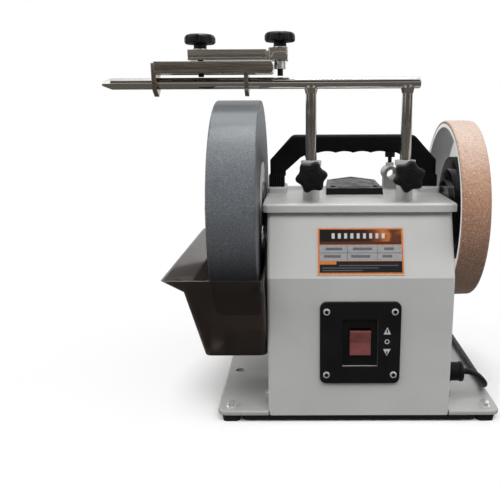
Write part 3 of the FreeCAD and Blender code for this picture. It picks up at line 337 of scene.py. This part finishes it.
def leather():
    """Tan leather, grain side out: pores, oil-dark patches, pale rubbed fibres; painted shade on faces that
    look down and a painted cream highlight on faces that look up.
    """
    look = Shader("leather")
    look.set("Specular IOR Level", 0.35)
    look.set("Sheen Weight", 0.45)
    look.set("Sheen Tint", (1.0, 0.9, 0.82))
    hide = look.noise(30, 5, 0.6, distortion=0.4)
    colour = look.ramp(hide, (0.28, (0.36, 0.183, 0.110)), (0.5, (0.43, 0.230, 0.144)),
                       (0.74, (0.51, 0.298, 0.196)))
    # painted shade: faces that look down are darkened towards brown
    colour = look.mix(look.spread(look.facing("Z"), 0.5, -0.3, 0.0, 0.55), colour, (0.17, 0.092, 0.060))
    # painted highlight: faces that look up are paled towards cream
    colour = look.mix(look.spread(look.facing("Z"), 0.25, 0.95, 0.0, 0.6), colour, (0.86, 0.73, 0.63))
    pores = look.cells(2.0, stretch=(1.0, 0.8, 0.8))
    colour = look.mix(look.spread(pores, 0.42, 0.12, 0.0, 0.5), colour, (0.24, 0.12, 0.072))
    fibres = look.noise(1.5, 4, 0.8)
    colour = look.mix(look.spread(fibres, 0.52, 0.68, 0.0, 0.6), colour, (0.82, 0.64, 0.51))
    colour = look.mix(look.spread(fibres, 0.48, 0.34, 0.0, 0.65), colour, (0.20, 0.095, 0.055))
    look.set("Base Color", colour)
    look.set("Roughness", look.spread(fibres, 0.3, 0.7, 0.58, 0.82))
    return look.relief(look.calc("ADD", look.spread(pores, 0.0, 0.5), fibres), 0.16, 0.4)


def smoked_plastic():
    """See-through dark moulding with a brown cast and flow marks."""
    look = Shader("smoked_plastic", coat=0.25)
    flow = look.noise(45, 4, stretch=(1.0, 1.0, 0.35))
    look.set("Base Color", look.ramp(flow, (0.3, (0.150, 0.122, 0.110)), (0.7, (0.222, 0.187, 0.168))))
    look.set("Transmission Weight", 0.88)
    look.set("IOR", 1.18)
    look.set("Roughness", look.spread(look.noise(9, 5), 0.3, 0.7, 0.04, 0.14))
    return look.relief(look.noise(2.5, 3), 0.012, 0.8)


def rubber():
    look = Shader("rubber")
    look.set("Base Color", look.ramp(look.noise(14, 5), (0.3, grey(0.007)), (0.75, grey(0.018))))
    look.set("Roughness", look.spread(look.noise(3, 4), 0.3, 0.7, 0.62, 0.85))
    return look.relief(look.cells(1.2), 0.08, 0.8)


def red_plastic():
    """Dusty translucent red, lighter along the worn edges."""
    look = Shader("red_plastic", coat=0.25)
    cloud = look.noise(6, 5)
    colour = look.ramp(cloud, (0.3, (0.150, 0.040, 0.040)), (0.7, (0.215, 0.066, 0.064)))
    dust = look.spread(look.noise(1.6, 5), 0.5, 0.8, 0.0, 0.3)
    colour = look.mix(dust, colour, (0.30, 0.19, 0.185))
    look.set("Base Color", look.mix(look.product(look.edges(0.6), 0.4), colour, (0.40, 0.20, 0.19)))
    look.set("Subsurface Weight", 0.15)
    look.set("Subsurface Radius", (0.002, 0.0006, 0.0005))
    look.set("Roughness", look.spread(cloud, 0.3, 0.7, 0.3, 0.5))
    return look.relief(look.noise(1.2, 3), 0.04, 0.5)


def paper():
    look = Shader("paper", roughness=0.85)
    aged = grey(0.62, (1, 1, 0.95))
    clean = grey(0.78, (1, 1, 0.97))
    look.set("Base Color", look.ramp(look.noise(6, 6), (0.3, aged), (0.7, clean)))
    return look.relief(look.noise(0.9, 5), 0.04)


def ink(name, colour):
    """Printed film in one ink, with fine mottling."""
    look = Shader(name, roughness=0.45, coat=0.3)
    shade = tuple(c * 0.82 for c in colour)
    look.set("Base Color", look.ramp(look.noise(2.2, 4), (0.35, shade), (0.65, colour)))
    return look.relief(look.noise(1.0, 3), 0.012)


def ember_ink(low_x, high_x):
    """Header ink that glows from black on the left to ember orange at the right."""
    look = Shader("ember_ink", roughness=0.4, coat=0.3)
    wave = look.spread(look.noise(26, 2), 0.3, 0.7, -0.14, 0.14)
    along = look.calc("ADD", look.spread(look.axis("X"), low_x, high_x), wave)
    colour = look.ramp(along, (0.0, grey(0.006)), (0.5, (0.030, 0.012, 0.008)),
                       (0.72, (0.16, 0.045, 0.015)), (0.86, (0.50, 0.16, 0.04)), (1.0, (0.10, 0.030, 0.012)))
    look.set("Base Color", colour)
    return look.relief(look.noise(1.0, 3), 0.012)


MATERIALS = {look.name: look for look in (
    powder_coat("casing_paint", 0.53),
    powder_coat("cap_paint", 0.57),
    powder_coat("plate_paint", 0.36),
    powder_coat("black_steel", 0.008),
    inner_glow(powder_coat("drum_grey", 0.50, (1.0, 1.0, 1.02))),
    rubber(),
    paper(),
    leather(),
    stone(),
    smoked_plastic(),
    red_plastic(),
    gloss_black(),
    ink("label_film", (0.62, 0.22, 0.07)),
    moulded_plastic("black_plastic", 0.45),
    moulded_plastic("grip_plastic", 0.72, depth_mm=0.06).set("Specular IOR Level", 0.1),
    moulded_plastic("cover_plastic", 0.36),
    moulded_plastic("cord_sheath", 0.5, grain_mm=2.0, depth_mm=0.03),
    moulded_plastic("pale_plastic", 0.45, (0.55, 0.55, 0.52)),
    cast_metal("cast_grey", 0.20, (1, 1, 1.02), 0.55),
    cast_metal("cast_alloy", 0.45, (1, 1, 1.01), 0.42),
    bright_metal("bright_screws", 0.85, (1, 1, 0.99), 0.22, round_mm=0.5).set("Metallic", 0.7),
    bright_metal("bronze", 0.55, (1.0, 0.72, 0.42), 0.3),
    bright_metal("zinc_steel", 0.60, (1, 1, 1.01), 0.30, stain=0.5, round_mm=0.5).set("Metallic", 0.85),
    bright_metal("chrome", 0.78, (1, 1, 1), 0.08, stain=0.1),
    bright_metal("motor_steel", 0.38, (1, 1, 1.02), 0.38, stain=0.5),
    bright_metal("bright_rod", 0.70, (1.0, 0.98, 0.94), 0.13, drawn=(0.02, 1.0, 0.02), stain=0.3),
    edge_lit(bright_metal("nickel_cast", 0.44, (1.0, 0.93, 0.82), 0.15, drawn=(0.012, 0.16, 0.16),
                          stain=0.5, depth_mm=0.055, round_mm=1.2)),
)}

INKS = {name: ink(name + "_ink", colour) for name, colour in (
    ("white", (0.62, 0.62, 0.61)),
    ("grey", (0.13, 0.13, 0.135)),
    ("black", (0.008, 0.008, 0.009)),
    ("pale", (0.34, 0.34, 0.35)),
    ("orange", (0.62, 0.20, 0.05)),
    ("copper", (0.62, 0.50, 0.43)),
    ("rust", (0.085, 0.024, 0.012)),
    # joint: pale grey ink, a painted highlight along the handle's foot joint
    ("joint", (0.16, 0.16, 0.165)),
)}


# Mesh building --------------------------------------------------------------------------------

SMOOTH_ANGLE = math.radians(32)


def finish_mesh(name, points, faces, body, slot, shaders=None, face_shader=None):
    """Makes a piece from points in metres, smooth except at sharp edges, riding on a body."""
    mesh = bpy.data.meshes.new(name)
    mesh.from_pydata([tuple(p) for p in points], [], faces)
    mesh.validate()
    for shader in shaders or [MATERIALS[slot]]:
        mesh.materials.append(shader.material)
    if face_shader:
        for polygon, index in zip(mesh.polygons, face_shader):
            polygon.material_index = index
    mesh.shade_smooth()
    mesh.set_sharp_from_angle(angle=SMOOTH_ANGLE)
    piece = bpy.data.objects.new(name, mesh)
    bpy.context.scene.collection.objects.link(piece)
    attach(piece, body)
    return piece


def join_rings(rings, closed=False):
    """Faces between equal rings of points; the ends are capped, or the last ring joins the first."""
    count = len(rings[0])
    points = [p for ring in rings for p in ring]
    faces = []
    last = len(rings) if closed else len(rings) - 1
    for i in range(last):
        a = i * count
        b = ((i + 1) % len(rings)) * count
        for k in range(count):
            following = (k + 1) % count
            faces.append((a + k, a + following, b + following, b + k))
    if not closed:
        faces.append(tuple(range(count))[::-1])
        faces.append(tuple(range(len(points) - count, len(points))))
    return points, faces


def turned(profile, start, along, steps=48):
    """Solid of revolution: profile is (distance along, radius) pairs, in mm, from a start point."""
    along = Vector(along).normalized()
    side = along.orthogonal().normalized()
    other = along.cross(side)
    rings = []
    for distance, radius in profile:
        ring = []
        for k in range(steps):
            angle = 2 * math.pi * k / steps
            spoke = side * math.cos(angle) + other * math.sin(angle)
            ring.append(Vector(start) + along * (distance * MM) + spoke * (radius * MM))
        rings.append(ring)
    return join_rings(rings)


def thread_profile(start, end, radius, pitch=1.0, depth=0.32):
    """Profile of a threaded stretch, drawn as close rings."""
    profile = []
    count = int((end - start) / pitch)
    for i in range(count):
        at = start + i * pitch
        profile += [(at, radius - depth), (at + pitch * 0.35, radius), (at + pitch * 0.55, radius)]
    return profile + [(end, radius - depth)]


def merge(*parts):
    """Joins several (points, faces) into one."""
    points = []
    faces = []
    for more_points, more_faces in parts:
        shift = len(points)
        points += list(more_points)
        faces += [tuple(i + shift for i in face) for face in more_faces]
    return points, faces


# Honing leather -------------------------------------------------------------------------------

def make_leather_band():
    """Leather strip round the drum: crowned, with rounded edges and a slanted skived joint."""
    low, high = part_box("leather_band")
    drum_low, drum_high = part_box("honing_drum")
    centre = (low + high) / 2
    inner = (drum_high.z - drum_low.z) / 2 + 0.02 * MM
    outer = (high.z - low.z) / 2
    width = high.x - low.x
    edge = 0.9 * MM
    around = 420
    across = 22
    joint_at = math.radians(205)
    joint_slant = math.radians(9)
    joint_depth = 0.45 * MM
    joint_run = 0.05
    crown_rise = 0.35 * MM

    def spot(x, radius, angle):
        return Vector((x, centre.y + radius * math.cos(angle), centre.z + radius * math.sin(angle)))

    rings = []
    for i in range(around):
        angle = 2 * math.pi * i / around
        ring = []
        for k in range(across + 1):
            t = k / across
            x = low.x + width * t
            from_edge = min(t, 1 - t) * width
            round_off = edge - math.sqrt(max(edge ** 2 - max(edge - from_edge, 0) ** 2, 0))
            crown = crown_rise * (1 - (2 * t - 1) ** 2)
            place = Vector((x, math.cos(angle) * outer, math.sin(angle) * outer))
            bumps = 0.16 * MM * noise.noise(place * 260) + 0.10 * MM * noise.noise(place * 700)
            past = (angle - joint_at - joint_slant * (t - 0.5)) % (2 * math.pi)
            step = joint_depth * max(0.0, 1 - past / joint_run)
            ring.append(spot(x, outer - crown_rise - round_off + crown + bumps - step, angle))
        for t in (1.0, 0.5, 0.0):
            ring.append(spot(low.x + width * t, inner, angle))
        rings.append(ring)
    points, faces = join_rings(rings, closed=True)
    piece = finish_mesh("leather_wrap", points, faces, BODY_OF["leather_band"], "leather")
    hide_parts("leather_band")


# Motor spring ---------------------------------------------------------------------------------

def make_motor_spring():
    """Coil under the motor cradle, drawn at one length; the real spring shortens as the cradle swings down.
    """
    low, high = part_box("motor_spring")
    centre = (low + high) / 2
    wire = 1.4 * MM
    coil = (high.x - low.x) / 2 - wire
    bottom = low.z + wire
    rise = high.z - low.z - 2 * wire
    turns = 6
    steps = turns * 36
    rings = []
    for i in range(steps + 1):
        angle = 2 * math.pi * turns * i / steps
        spoke = Vector((math.cos(angle), math.sin(angle), 0))
        at = Vector((centre.x, centre.y, bottom + rise * i / steps)) + spoke * coil
        ring = []
        for k in range(12):
            around = 2 * math.pi * k / 12
            ring.append(at + spoke * (wire * math.cos(around)) + Vector((0, 0, wire * math.sin(around))))
        rings.append(ring)
    points, faces = join_rings(rings)
    piece = finish_mesh("cradle_spring", points, faces, BODY_OF["motor_spring"], SLOT_OF["motor_spring"])
    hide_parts("motor_spring")
    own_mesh(piece)


# Star knobs -----------------------------------------------------------------------------------

def star_grip(centre, along, layers, lobes, tip, waist, sharpness, turn, steps=144):
    """A lobed grip on a level axis: each layer is (distance along, share of the outline, mm taken off)."""
    along = Vector(along).normalized()
    up = Vector((0, 0, 1))
    side = up.cross(along).normalized()
    rings = []
    for distance, share, off in layers:
        ring = []
        for k in range(steps):
            angle = 2 * math.pi * k / steps
            swell = (0.5 + 0.5 * math.cos(lobes * (angle - turn))) ** sharpness
            radius = (waist + (tip - waist) * swell) * share - off
            spoke = side * math.cos(angle) + up * math.sin(angle)
            ring.append(centre + along * (distance * MM) + spoke * (radius * MM))
        rings.append(ring)
    return join_rings(rings)


def make_front_knob(node, lean_deg):
    """Six-lobed knob on the sleeve: domed face with a sunk disc, hub and threaded stud."""
    low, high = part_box(node)
    centre = Vector(((low.x + high.x) / 2, low.y, (low.z + high.z) / 2))
    depth = (high.y - low.y) / MM
    outward = (0, -1, 0)
    back = 13.0
    face = centre + Vector((0, back * MM, 0))
    layers = (
        (0.0, 1.0, 3.2), (0.25, 1.0, 1.6), (0.9, 1.0, 0.7), (2.2, 1.0, 0.15), (4.0, 1.0, 0.0),
        (9.2, 1.0, 0.0), (10.8, 1.0, 0.5), (11.9, 1.0, 1.6), (12.45, 1.0, 3.0), (12.75, 0.80, 3.2),
        (12.85, 0.62, 2.4),
    )
    grip = star_grip(face, outward, layers, lobes=6, tip=17.2, waist=13.9, sharpness=1.2,
                     turn=math.radians(lean_deg))
    disc_r = 8.2
    disc_profile = [
        (12.0, disc_r + 1.0), (12.95, disc_r + 0.9), (12.95, disc_r + 0.1), (12.45, disc_r - 0.5),
        (12.45, disc_r - 1.4), (12.8, disc_r - 2.0), (12.95, 1.0),
    ]
    disc = turned(disc_profile, face, outward)
    hub = turned([(-3.4, 6.6), (-3.0, 7.6), (-0.5, 8.4), (0.6, 8.5)], face, outward)
    stud_length = depth - back
    thread = thread_profile(-stud_length + 0.4, -3.0, 2.95)
    stud = turned([(-stud_length, 2.3)] + thread + [(0.5, 2.9)], face, outward, 24)
    points, faces = merge(grip, disc, hub)
    body = BODY_OF[node]
    piece = finish_mesh(node + "_grip", points, faces, body, "black_plastic")
    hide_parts(node)
    finish_mesh(node + "_stud", *stud, body, "bright_screws")


# Switch panel ---------------------------------------------------------------------------------

def panel_print(name, outlines, front_y, ink_name, lift_mm=0.12):
    """Thin raised shapes on the switch panel; outlines are closed (x, z) loops."""
    shapes = []
    for outline in outlines:
        back = [Vector((x, front_y + 0.02 * MM, z)) for x, z in outline]
        front = [Vector((x, front_y - lift_mm * MM, z)) for x, z in outline]
        shapes.append(join_rings([back, front]))
    points, faces = merge(*shapes)
    finish_mesh(name, points, faces, BODY_OF["switch_panel"], "black_plastic", [INKS[ink_name]])


def ring_outline(x, z, outer, inner, steps=40):
    """A ring drawn as one loop that runs round outside and back inside."""
    loop = []
    for k in range(steps + 1):
        angle = 2 * math.pi * k / steps
        loop.append((x + outer * math.cos(angle), z + outer * math.sin(angle)))
    for k in range(steps, -1, -1):
        angle = 2 * math.pi * k / steps
        loop.append((x + inner * math.cos(angle), z + inner * math.sin(angle)))
    return loop


def make_panel_marks():
    """Plain direction marks beside the rocker: a triangle up, a ring, a triangle down."""
    low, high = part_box("switch_panel")
    x = high.x - 14.5 * MM
    middle = (low.z + high.z) / 2 + 2.0 * MM
    half = 4.0 * MM
    gap = 12.2 * MM
    up = [(x - half, middle + gap - half), (x + half, middle + gap - half), (x, middle + gap + half)]
    down = [(x - half, middle - gap + half), (x, middle - gap - half), (x + half, middle - gap + half)]
    panel_print("panel_arrows", [up, down[::-1]], low.y, "white")
    slit = 0.7 * MM
    for name, centre in (("panel_arrow_slit_up", middle + gap), ("panel_arrow_slit_down", middle - gap)):
        foot = centre - 2.2 * MM
        head = centre + 1.6 * MM
        bar = [(x - slit, foot), (x + slit, foot), (x + slit, head), (x - slit, head)]
        panel_print(name, [bar], low.y - 0.1 * MM, "black", 0.08)
    panel_print("panel_ring", [ring_outline(x, middle, 2.6 * MM, 1.7 * MM)], low.y, "white")


def flat_face(node, towards):
    """The largest flat face of a part that looks one way: corner, right, up, normal, width, height."""
    mesh = NODES[node].data
    seen = [p for p in mesh.polygons if p.normal.dot(Vector(towards)) > 0.5]
    normal = max(seen, key=lambda p: p.area).normal.normalized()
    right = Vector((1, 0, 0))
    up = normal.cross(right).normalized()
    level = max(p.center.dot(normal) for p in seen if p.normal.dot(normal) > 0.999)
    corners = [mesh.vertices[i].co for p in seen for i in p.vertices
               if p.normal.dot(normal) > 0.999 and abs(p.center.dot(normal) - level) < 0.05 * MM]
    across = [c.dot(right) for c in corners]
    along = [c.dot(up) for c in corners]
    corner = right * min(across) + up * min(along) + normal * level
    return corner, right, up, normal, max(across) - min(across), max(along) - min(along)


# Handle feet ----------------------------------------------------------------------------------

def rib_block(low, high):
    """A block whose outer (-Y) face is smaller than its back, so that its sides slope."""
    cut = min(high.x - low.x, high.z - low.z) * 0.25
    inner = [(low.x, low.z), (high.x, low.z), (high.x, high.z), (low.x, high.z)]
    outer = [(low.x + cut, low.z + cut), (high.x - cut, low.z + cut), (high.x - cut, high.z - cut),
             (low.x + cut, high.z - cut)]
    rings = [[Vector((x, high.y, z)) for x, z in inner], [Vector((x, low.y, z)) for x, z in outer]]
    return join_rings(rings)


def make_handle_ribs():
    """Fine upright ribs on the front of both handle feet, with a pale band above them: a painted highlight
    along the joint.
    """
    low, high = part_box("carry_handle")
    mesh = NODES["carry_handle"].data
    front = [v.co for v in mesh.vertices if v.co.y < low.y + 0.05 * MM]
    foot_top = max(c.z for c in front)
    foot_low_x = min(c.x for c in front if c.x > 0)
    ribs = []
    joint_highlights = []
    pitch = 2.5 * MM
    count = int((high.x - foot_low_x - 1.0 * MM) / pitch)
    for side in (-1, 1):
        for i in range(count):
            a = foot_low_x + 1.4 * MM + i * pitch
            ends = sorted((side * a, side * (a + 1.3 * MM)))
            ribs.append(rib_block(Vector((ends[0], low.y - 0.8 * MM, low.z + 1.2 * MM)),
                                  Vector((ends[1], low.y + 0.1 * MM, foot_top - 0.8 * MM))))
        ends = sorted((side * (foot_low_x + 0.8 * MM), side * (high.x - 1.2 * MM)))
        # painted highlight: a pale band along the joint between foot and arm
        joint_highlights.append(rib_block(Vector((ends[0], low.y + 0.5 * MM, foot_top - 0.3 * MM)),
                                Vector((ends[1], low.y + 1.4 * MM, foot_top + 1.0 * MM))))
    body = BODY_OF["carry_handle"]
    finish_mesh("handle_foot_ribs", *merge(*ribs), body, "black_plastic")
    finish_mesh("handle_joint_highlight", *merge(*joint_highlights), body, "black_plastic", [INKS["joint"]])


# Deck cover -----------------------------------------------------------------------------------

def make_cover_frame():
    """A raised line that follows the edge of the black deck cover, a little way in."""
    low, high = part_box("cover_plate")
    depth = high.y - low.y
    middle = Vector(((low.x + high.x) / 2, low.y + depth * 0.46))
    half = (high.x - low.x) / 2
    outline = [(-0.93, 0.04), (0.93, 0.04), (0.86, 0.88), (0.0, 0.97), (-0.86, 0.88)]
    corners = [Vector((middle.x + u * half, low.y + v * depth)) for u, v in outline]
    steps = 14
    rings = []
    for corner, following in zip(corners, corners[1:] + corners[:1]):
        for i in range(steps):
            at = corner.lerp(following, i / steps)
            ring = []
            for share, lift in ((0.86, -0.3), (0.86, 0.35), (0.835, 0.35), (0.835, -0.3)):
                spot = middle + (at - middle) * share
                above = Vector((spot.x, spot.y, 1.0))
                _, place, _, _ = NODES["cover_plate"].ray_cast(above, Vector((0, 0, -1)))
                ring.append(place + Vector((0, 0, lift * MM)))
            rings.append(ring)
    points, faces = join_rings(rings, closed=True)
    finish_mesh("cover_frame", points, faces, BODY_OF["cover_plate"], "black_plastic",
                [MATERIALS["cover_plastic"]])


# Rating plate ---------------------------------------------------------------------------------

def label_bars():
    """The blank print: (ink, left, right, bottom, top, layer), in shares of the plate's sides."""
    bars = [
        ("copper", 0.0, 1.0, 0.0, 1.0, 0),
        ("orange", 0.012, 0.988, 0.02, 0.98, 1),
        ("ember", 0.03, 0.97, 0.64, 0.955, 2),
        ("rust", 0.03, 0.97, 0.64, 0.70, 3),
        ("pale", 0.03, 0.97, 0.30, 0.63, 2),
        ("black", 0.03, 0.97, 0.055, 0.29, 2),
        ("orange", 0.03, 0.22, 0.225, 0.29, 3),
        ("grey", 0.03, 0.97, 0.458, 0.47, 3),
    ]
    for i in range(9):
        start = 0.17 + i * 0.072
        bars.append(("white", start, start + 0.034, 0.765, 0.875, 3))
    for shift, v0, v1 in ((0.0, 0.52, 0.575), (0.02, 0.365, 0.42)):
        for u0, u1 in ((0.10, 0.29), (0.41, 0.63), (0.77, 0.88)):
            bars.append(("grey", u0 - shift, u1 - shift, v0, v1, 3))
    for i, (u0, u1) in enumerate(((0.25, 0.93), (0.06, 0.70), (0.06, 0.52))):
        v0 = 0.195 - i * 0.052
        bars.append(("grey", u0, u1, v0, v0 + 0.016, 3))
    for u in (0.345, 0.69):
        bars.append(("grey", u, u + 0.006, 0.30, 0.63, 3))
    return bars


def make_label_print():
    """Rating print: a copper border, a dark header, pale cells and plain bars, with no lettering."""
    corner, right, lean, normal, width, height = flat_face("rating_plate", (0, -1, 0))
    corner = corner + normal * (0.02 * MM)
    inks = dict(INKS, ember=ember_ink(corner.x + width * 0.1, corner.x + width))
    bars = label_bars()
    names = sorted({bar[0] for bar in bars})
    thin = 0.05 * MM
    shapes = []
    kinds = []
    for name, u0, u1, v0, v1, layer in bars:
        rings = []
        for out in (layer * thin, (layer + 1) * thin):
            rings.append([corner + right * (u * width) + lean * (v * height) + normal * out
                          for u, v in ((u0, v0), (u1, v0), (u1, v1), (u0, v1))])
        shape = join_rings(rings)
        shapes.append(shape)
        kinds += [names.index(name)] * len(shape[1])
    points, faces = merge(*shapes)
    shaders = [inks[name] for name in names]
    finish_mesh("label_print", points, faces, BODY_OF["rating_plate"], "label_film", shaders, kinds)


# Dressing the CAD parts -----------------------------------------------------------------------

VARIANTS = {"carry_handle": "grip_plastic", "cover_plate": "cover_plastic"}
METAL_INSIDE = ("jig_left_knob", "jig_right_knob")
SOCKET_RADIUS = 2.4 * MM


def islands(mesh):
    """Groups of polygon numbers that touch, vertices at one place counting as one; largest box first."""
    first_at = {}
    owner = [first_at.setdefault(tuple(round(c / MM, 3) for c in v.co), v.index) for v in mesh.vertices]

    def top(i):
        while owner[i] != i:
            owner[i] = owner[owner[i]]
            i = owner[i]
        return i

    for edge in mesh.edges:
        a, b = (top(i) for i in edge.vertices)
        owner[a] = b
    groups = {}
    for polygon in mesh.polygons:
        groups.setdefault(top(polygon.vertices[0]), []).append(polygon.index)

    def size(group):
        corners = [mesh.vertices[i].co for n in group for i in mesh.polygons[n].vertices]
        spans = [max(c[k] for c in corners) - min(c[k] for c in corners) for k in range(3)]
        return spans[0] * spans[1] * spans[2]

    return sorted(groups.values(), key=size, reverse=True)


def darken_sockets(piece):
    """Paints the sunk middle of each screw that looks towards -Y black, as painted shade in the socket."""
    mesh = piece.data
    mesh.materials.append(MATERIALS["black_plastic"].material)
    for group in islands(mesh):
        corners = [mesh.vertices[i].co for n in group for i in mesh.polygons[n].vertices]
        x = (min(c.x for c in corners) + max(c.x for c in corners)) / 2
        z = (min(c.z for c in corners) + max(c.z for c in corners)) / 2
        for number in group:
            around = [mesh.vertices[i].co for i in mesh.polygons[number].vertices]
            if max(math.hypot(c.x - x, c.z - z) for c in around) < SOCKET_RADIUS:
                # painted shade: faces inside the socket take the black material
                mesh.polygons[number].material_index = 1


def dress_cad_nodes():
    """Gives every CAD part its material; inside a jig knob, all but the grip is bright metal."""
    for node, piece in NODES.items():
        piece.data.materials.clear()
        piece.data.materials.append(MATERIALS[VARIANTS.get(node, SLOT_OF[node])].material)
        if node in METAL_INSIDE:
            piece.data.materials.append(MATERIALS["bright_screws"].material)
            for group in islands(piece.data)[1:]:
                for number in group:
                    piece.data.polygons[number].material_index = 1
    darken_sockets(NODES["panel_screws"])


# Stage ----------------------------------------------------------------------------------------

def add_to_stage(piece):
    bpy.context.scene.collection.objects.link(piece)


def make_floor():
    """Pale studio floor: soft contact shadow near the machine, plain white further out."""
    material = bpy.data.materials.new("studio_floor")
    material.use_nodes = True
    material.node_tree.nodes.clear()
    tree = Nodes(material.node_tree, "Object")
    rays = tree.add("ShaderNodeLightPath").outputs
    mottle = tree.ramp(tree.noise(400, 3), (0.3, grey(0.86)), (0.7, grey(0.90)))
    colour = tree.mix(rays["Is Diffuse Ray"], mottle, grey(0.24))
    colour = tree.mix(rays["Is Glossy Ray"], colour, grey(0.11, (1.0, 0.9, 0.8)))
    matt = tree.shade("ShaderNodeBsdfDiffuse", Color=colour)
    glow = tree.shade("ShaderNodeEmission", Color=(1.0, 1.0, 1.0), Strength=1.0)
    reach = tree.add("ShaderNodeVectorMath")
    reach.operation = "LENGTH"
    tree.links.new(tree.place, reach.inputs[0])
    around = tree.spread(reach.outputs["Value"], 1.0, 0.3, 0.0, 0.20)
    near = tree.highest(around, tree.spread(reach.outputs["Value"], 0.26, 0.15))
    seen = tree.blend_shaders(near, glow, matt)
    surface = tree.blend_shaders(rays["Is Camera Ray"], matt, seen)
    tree.links.new(surface, tree.add("ShaderNodeOutputMaterial").inputs["Surface"])
    mesh = bpy.data.meshes.new("floor")
    half = 8.0
    corners = [(-half, -half, 0), (half, -half, 0), (half, half, 0), (-half, half, 0)]
    mesh.from_pydata(corners, [], [(0, 1, 2, 3)])
    mesh.materials.append(material)
    add_to_stage(bpy.data.objects.new("floor", mesh))


def make_world():
    """White studio: shiny surfaces see a dark room in front, a softbox on each side, white behind."""
    world = bpy.data.worlds.new("studio")
    bpy.context.scene.world = world
    world.use_nodes = True
    world.node_tree.nodes.clear()
    tree = Nodes(world.node_tree, "Generated")
    rays = tree.add("ShaderNodeLightPath").outputs
    aside = tree.calc("ABSOLUTE", tree.axis("X"))
    height = tree.axis("Z")
    back = tree.spread(tree.axis("Y"), 0.2, 0.55, 0.05, 0.95)
    boxes = tree.product(tree.spread(aside, 0.55, 0.65, 0.0, 1.4), tree.spread(aside, 0.96, 0.88),
                         tree.spread(height, 0.0, 0.1), tree.spread(height, 0.85, 0.7))
    ceiling = tree.spread(height, 0.74, 0.90)
    window = tree.product(tree.spread(height, 0.05, 0.12, 0.0, 0.55), tree.spread(height, 0.34, 0.24))
    room = tree.highest(back, boxes, ceiling, window)
    warm = tree.mix(tree.spread(room, 0.1, 0.6), (1.0, 0.86, 0.70), (1.0, 1.0, 1.0))
    shiny = tree.shade("ShaderNodeBackground", Color=warm, Strength=room)
    fill = tree.shade("ShaderNodeBackground", Color=(1.0, 1.0, 1.0), Strength=0.12)
    plain = tree.shade("ShaderNodeBackground", Color=(1.0, 1.0, 1.0), Strength=1.0)
    lit = tree.blend_shaders(rays["Is Glossy Ray"], fill, shiny)
    seen = tree.blend_shaders(rays["Is Camera Ray"], lit, plain)
    tree.links.new(seen, tree.add("ShaderNodeOutputWorld").inputs["Surface"])


def add_sun(name, direction, power, width_deg, shine):
    """A broad distant light: it either lights surfaces or only shows in shiny ones."""
    light = bpy.data.lights.new(name, "SUN")
    light.energy = power
    light.angle = math.radians(width_deg)
    lamp = bpy.data.objects.new(name, light)
    lamp.rotation_euler = (-Vector(direction)).to_track_quat("-Z", "Y").to_euler()
    lamp.visible_glossy = shine
    lamp.visible_diffuse = not shine
    bpy.context.scene.collection.objects.link(lamp)


def make_lights():
    for side in (-1, 1):
        add_sun("front_bank", (0.3 * side, -0.45, 0.84), 1.5, 40, False)
        add_sun("side_bank", (0.93 * side, -0.15, 0.33), 0.9, 30, False)
    add_sun("rear_bank", (0.2, 0.9, 0.4), 0.7, 40, False)
    add_sun("overhead", (0.0, 0.25, 0.96), 2.6, 18, True)


def make_camera():
    """Low front view, a little left of the casing; the lens shift keeps the object in the middle."""
    data = bpy.data.cameras.new("camera")
    data.sensor_width = 36.0
    data.lens = 44.54
    data.shift_x = -0.10
    data.clip_start = 0.01
    camera = bpy.data.objects.new("camera", data)
    bpy.context.scene.collection.objects.link(camera)
    place = Vector((-60.94, -725.97, 338.44)) * MM
    yaw, pitch, roll = (math.radians(a) for a in (-0.266, 12.871, -0.259))
    turn = Euler((math.pi / 2 - pitch, 0.0, -yaw)).to_matrix() @ Matrix.Rotation(roll, 3, "Z")
    camera.matrix_world = Matrix.Translation(place) @ turn.to_4x4()
    bpy.context.scene.camera = camera


dress_cad_nodes()
make_leather_band()
make_motor_spring()
make_front_knob("left_star_knob", 9.4)
make_front_knob("right_star_knob", 18.7)
make_panel_marks()
make_label_print()
make_cover_frame()
make_handle_ribs()
make_floor()
make_world()
make_lights()
make_camera()
bpy.context.scene.view_settings.view_transform = "Standard"
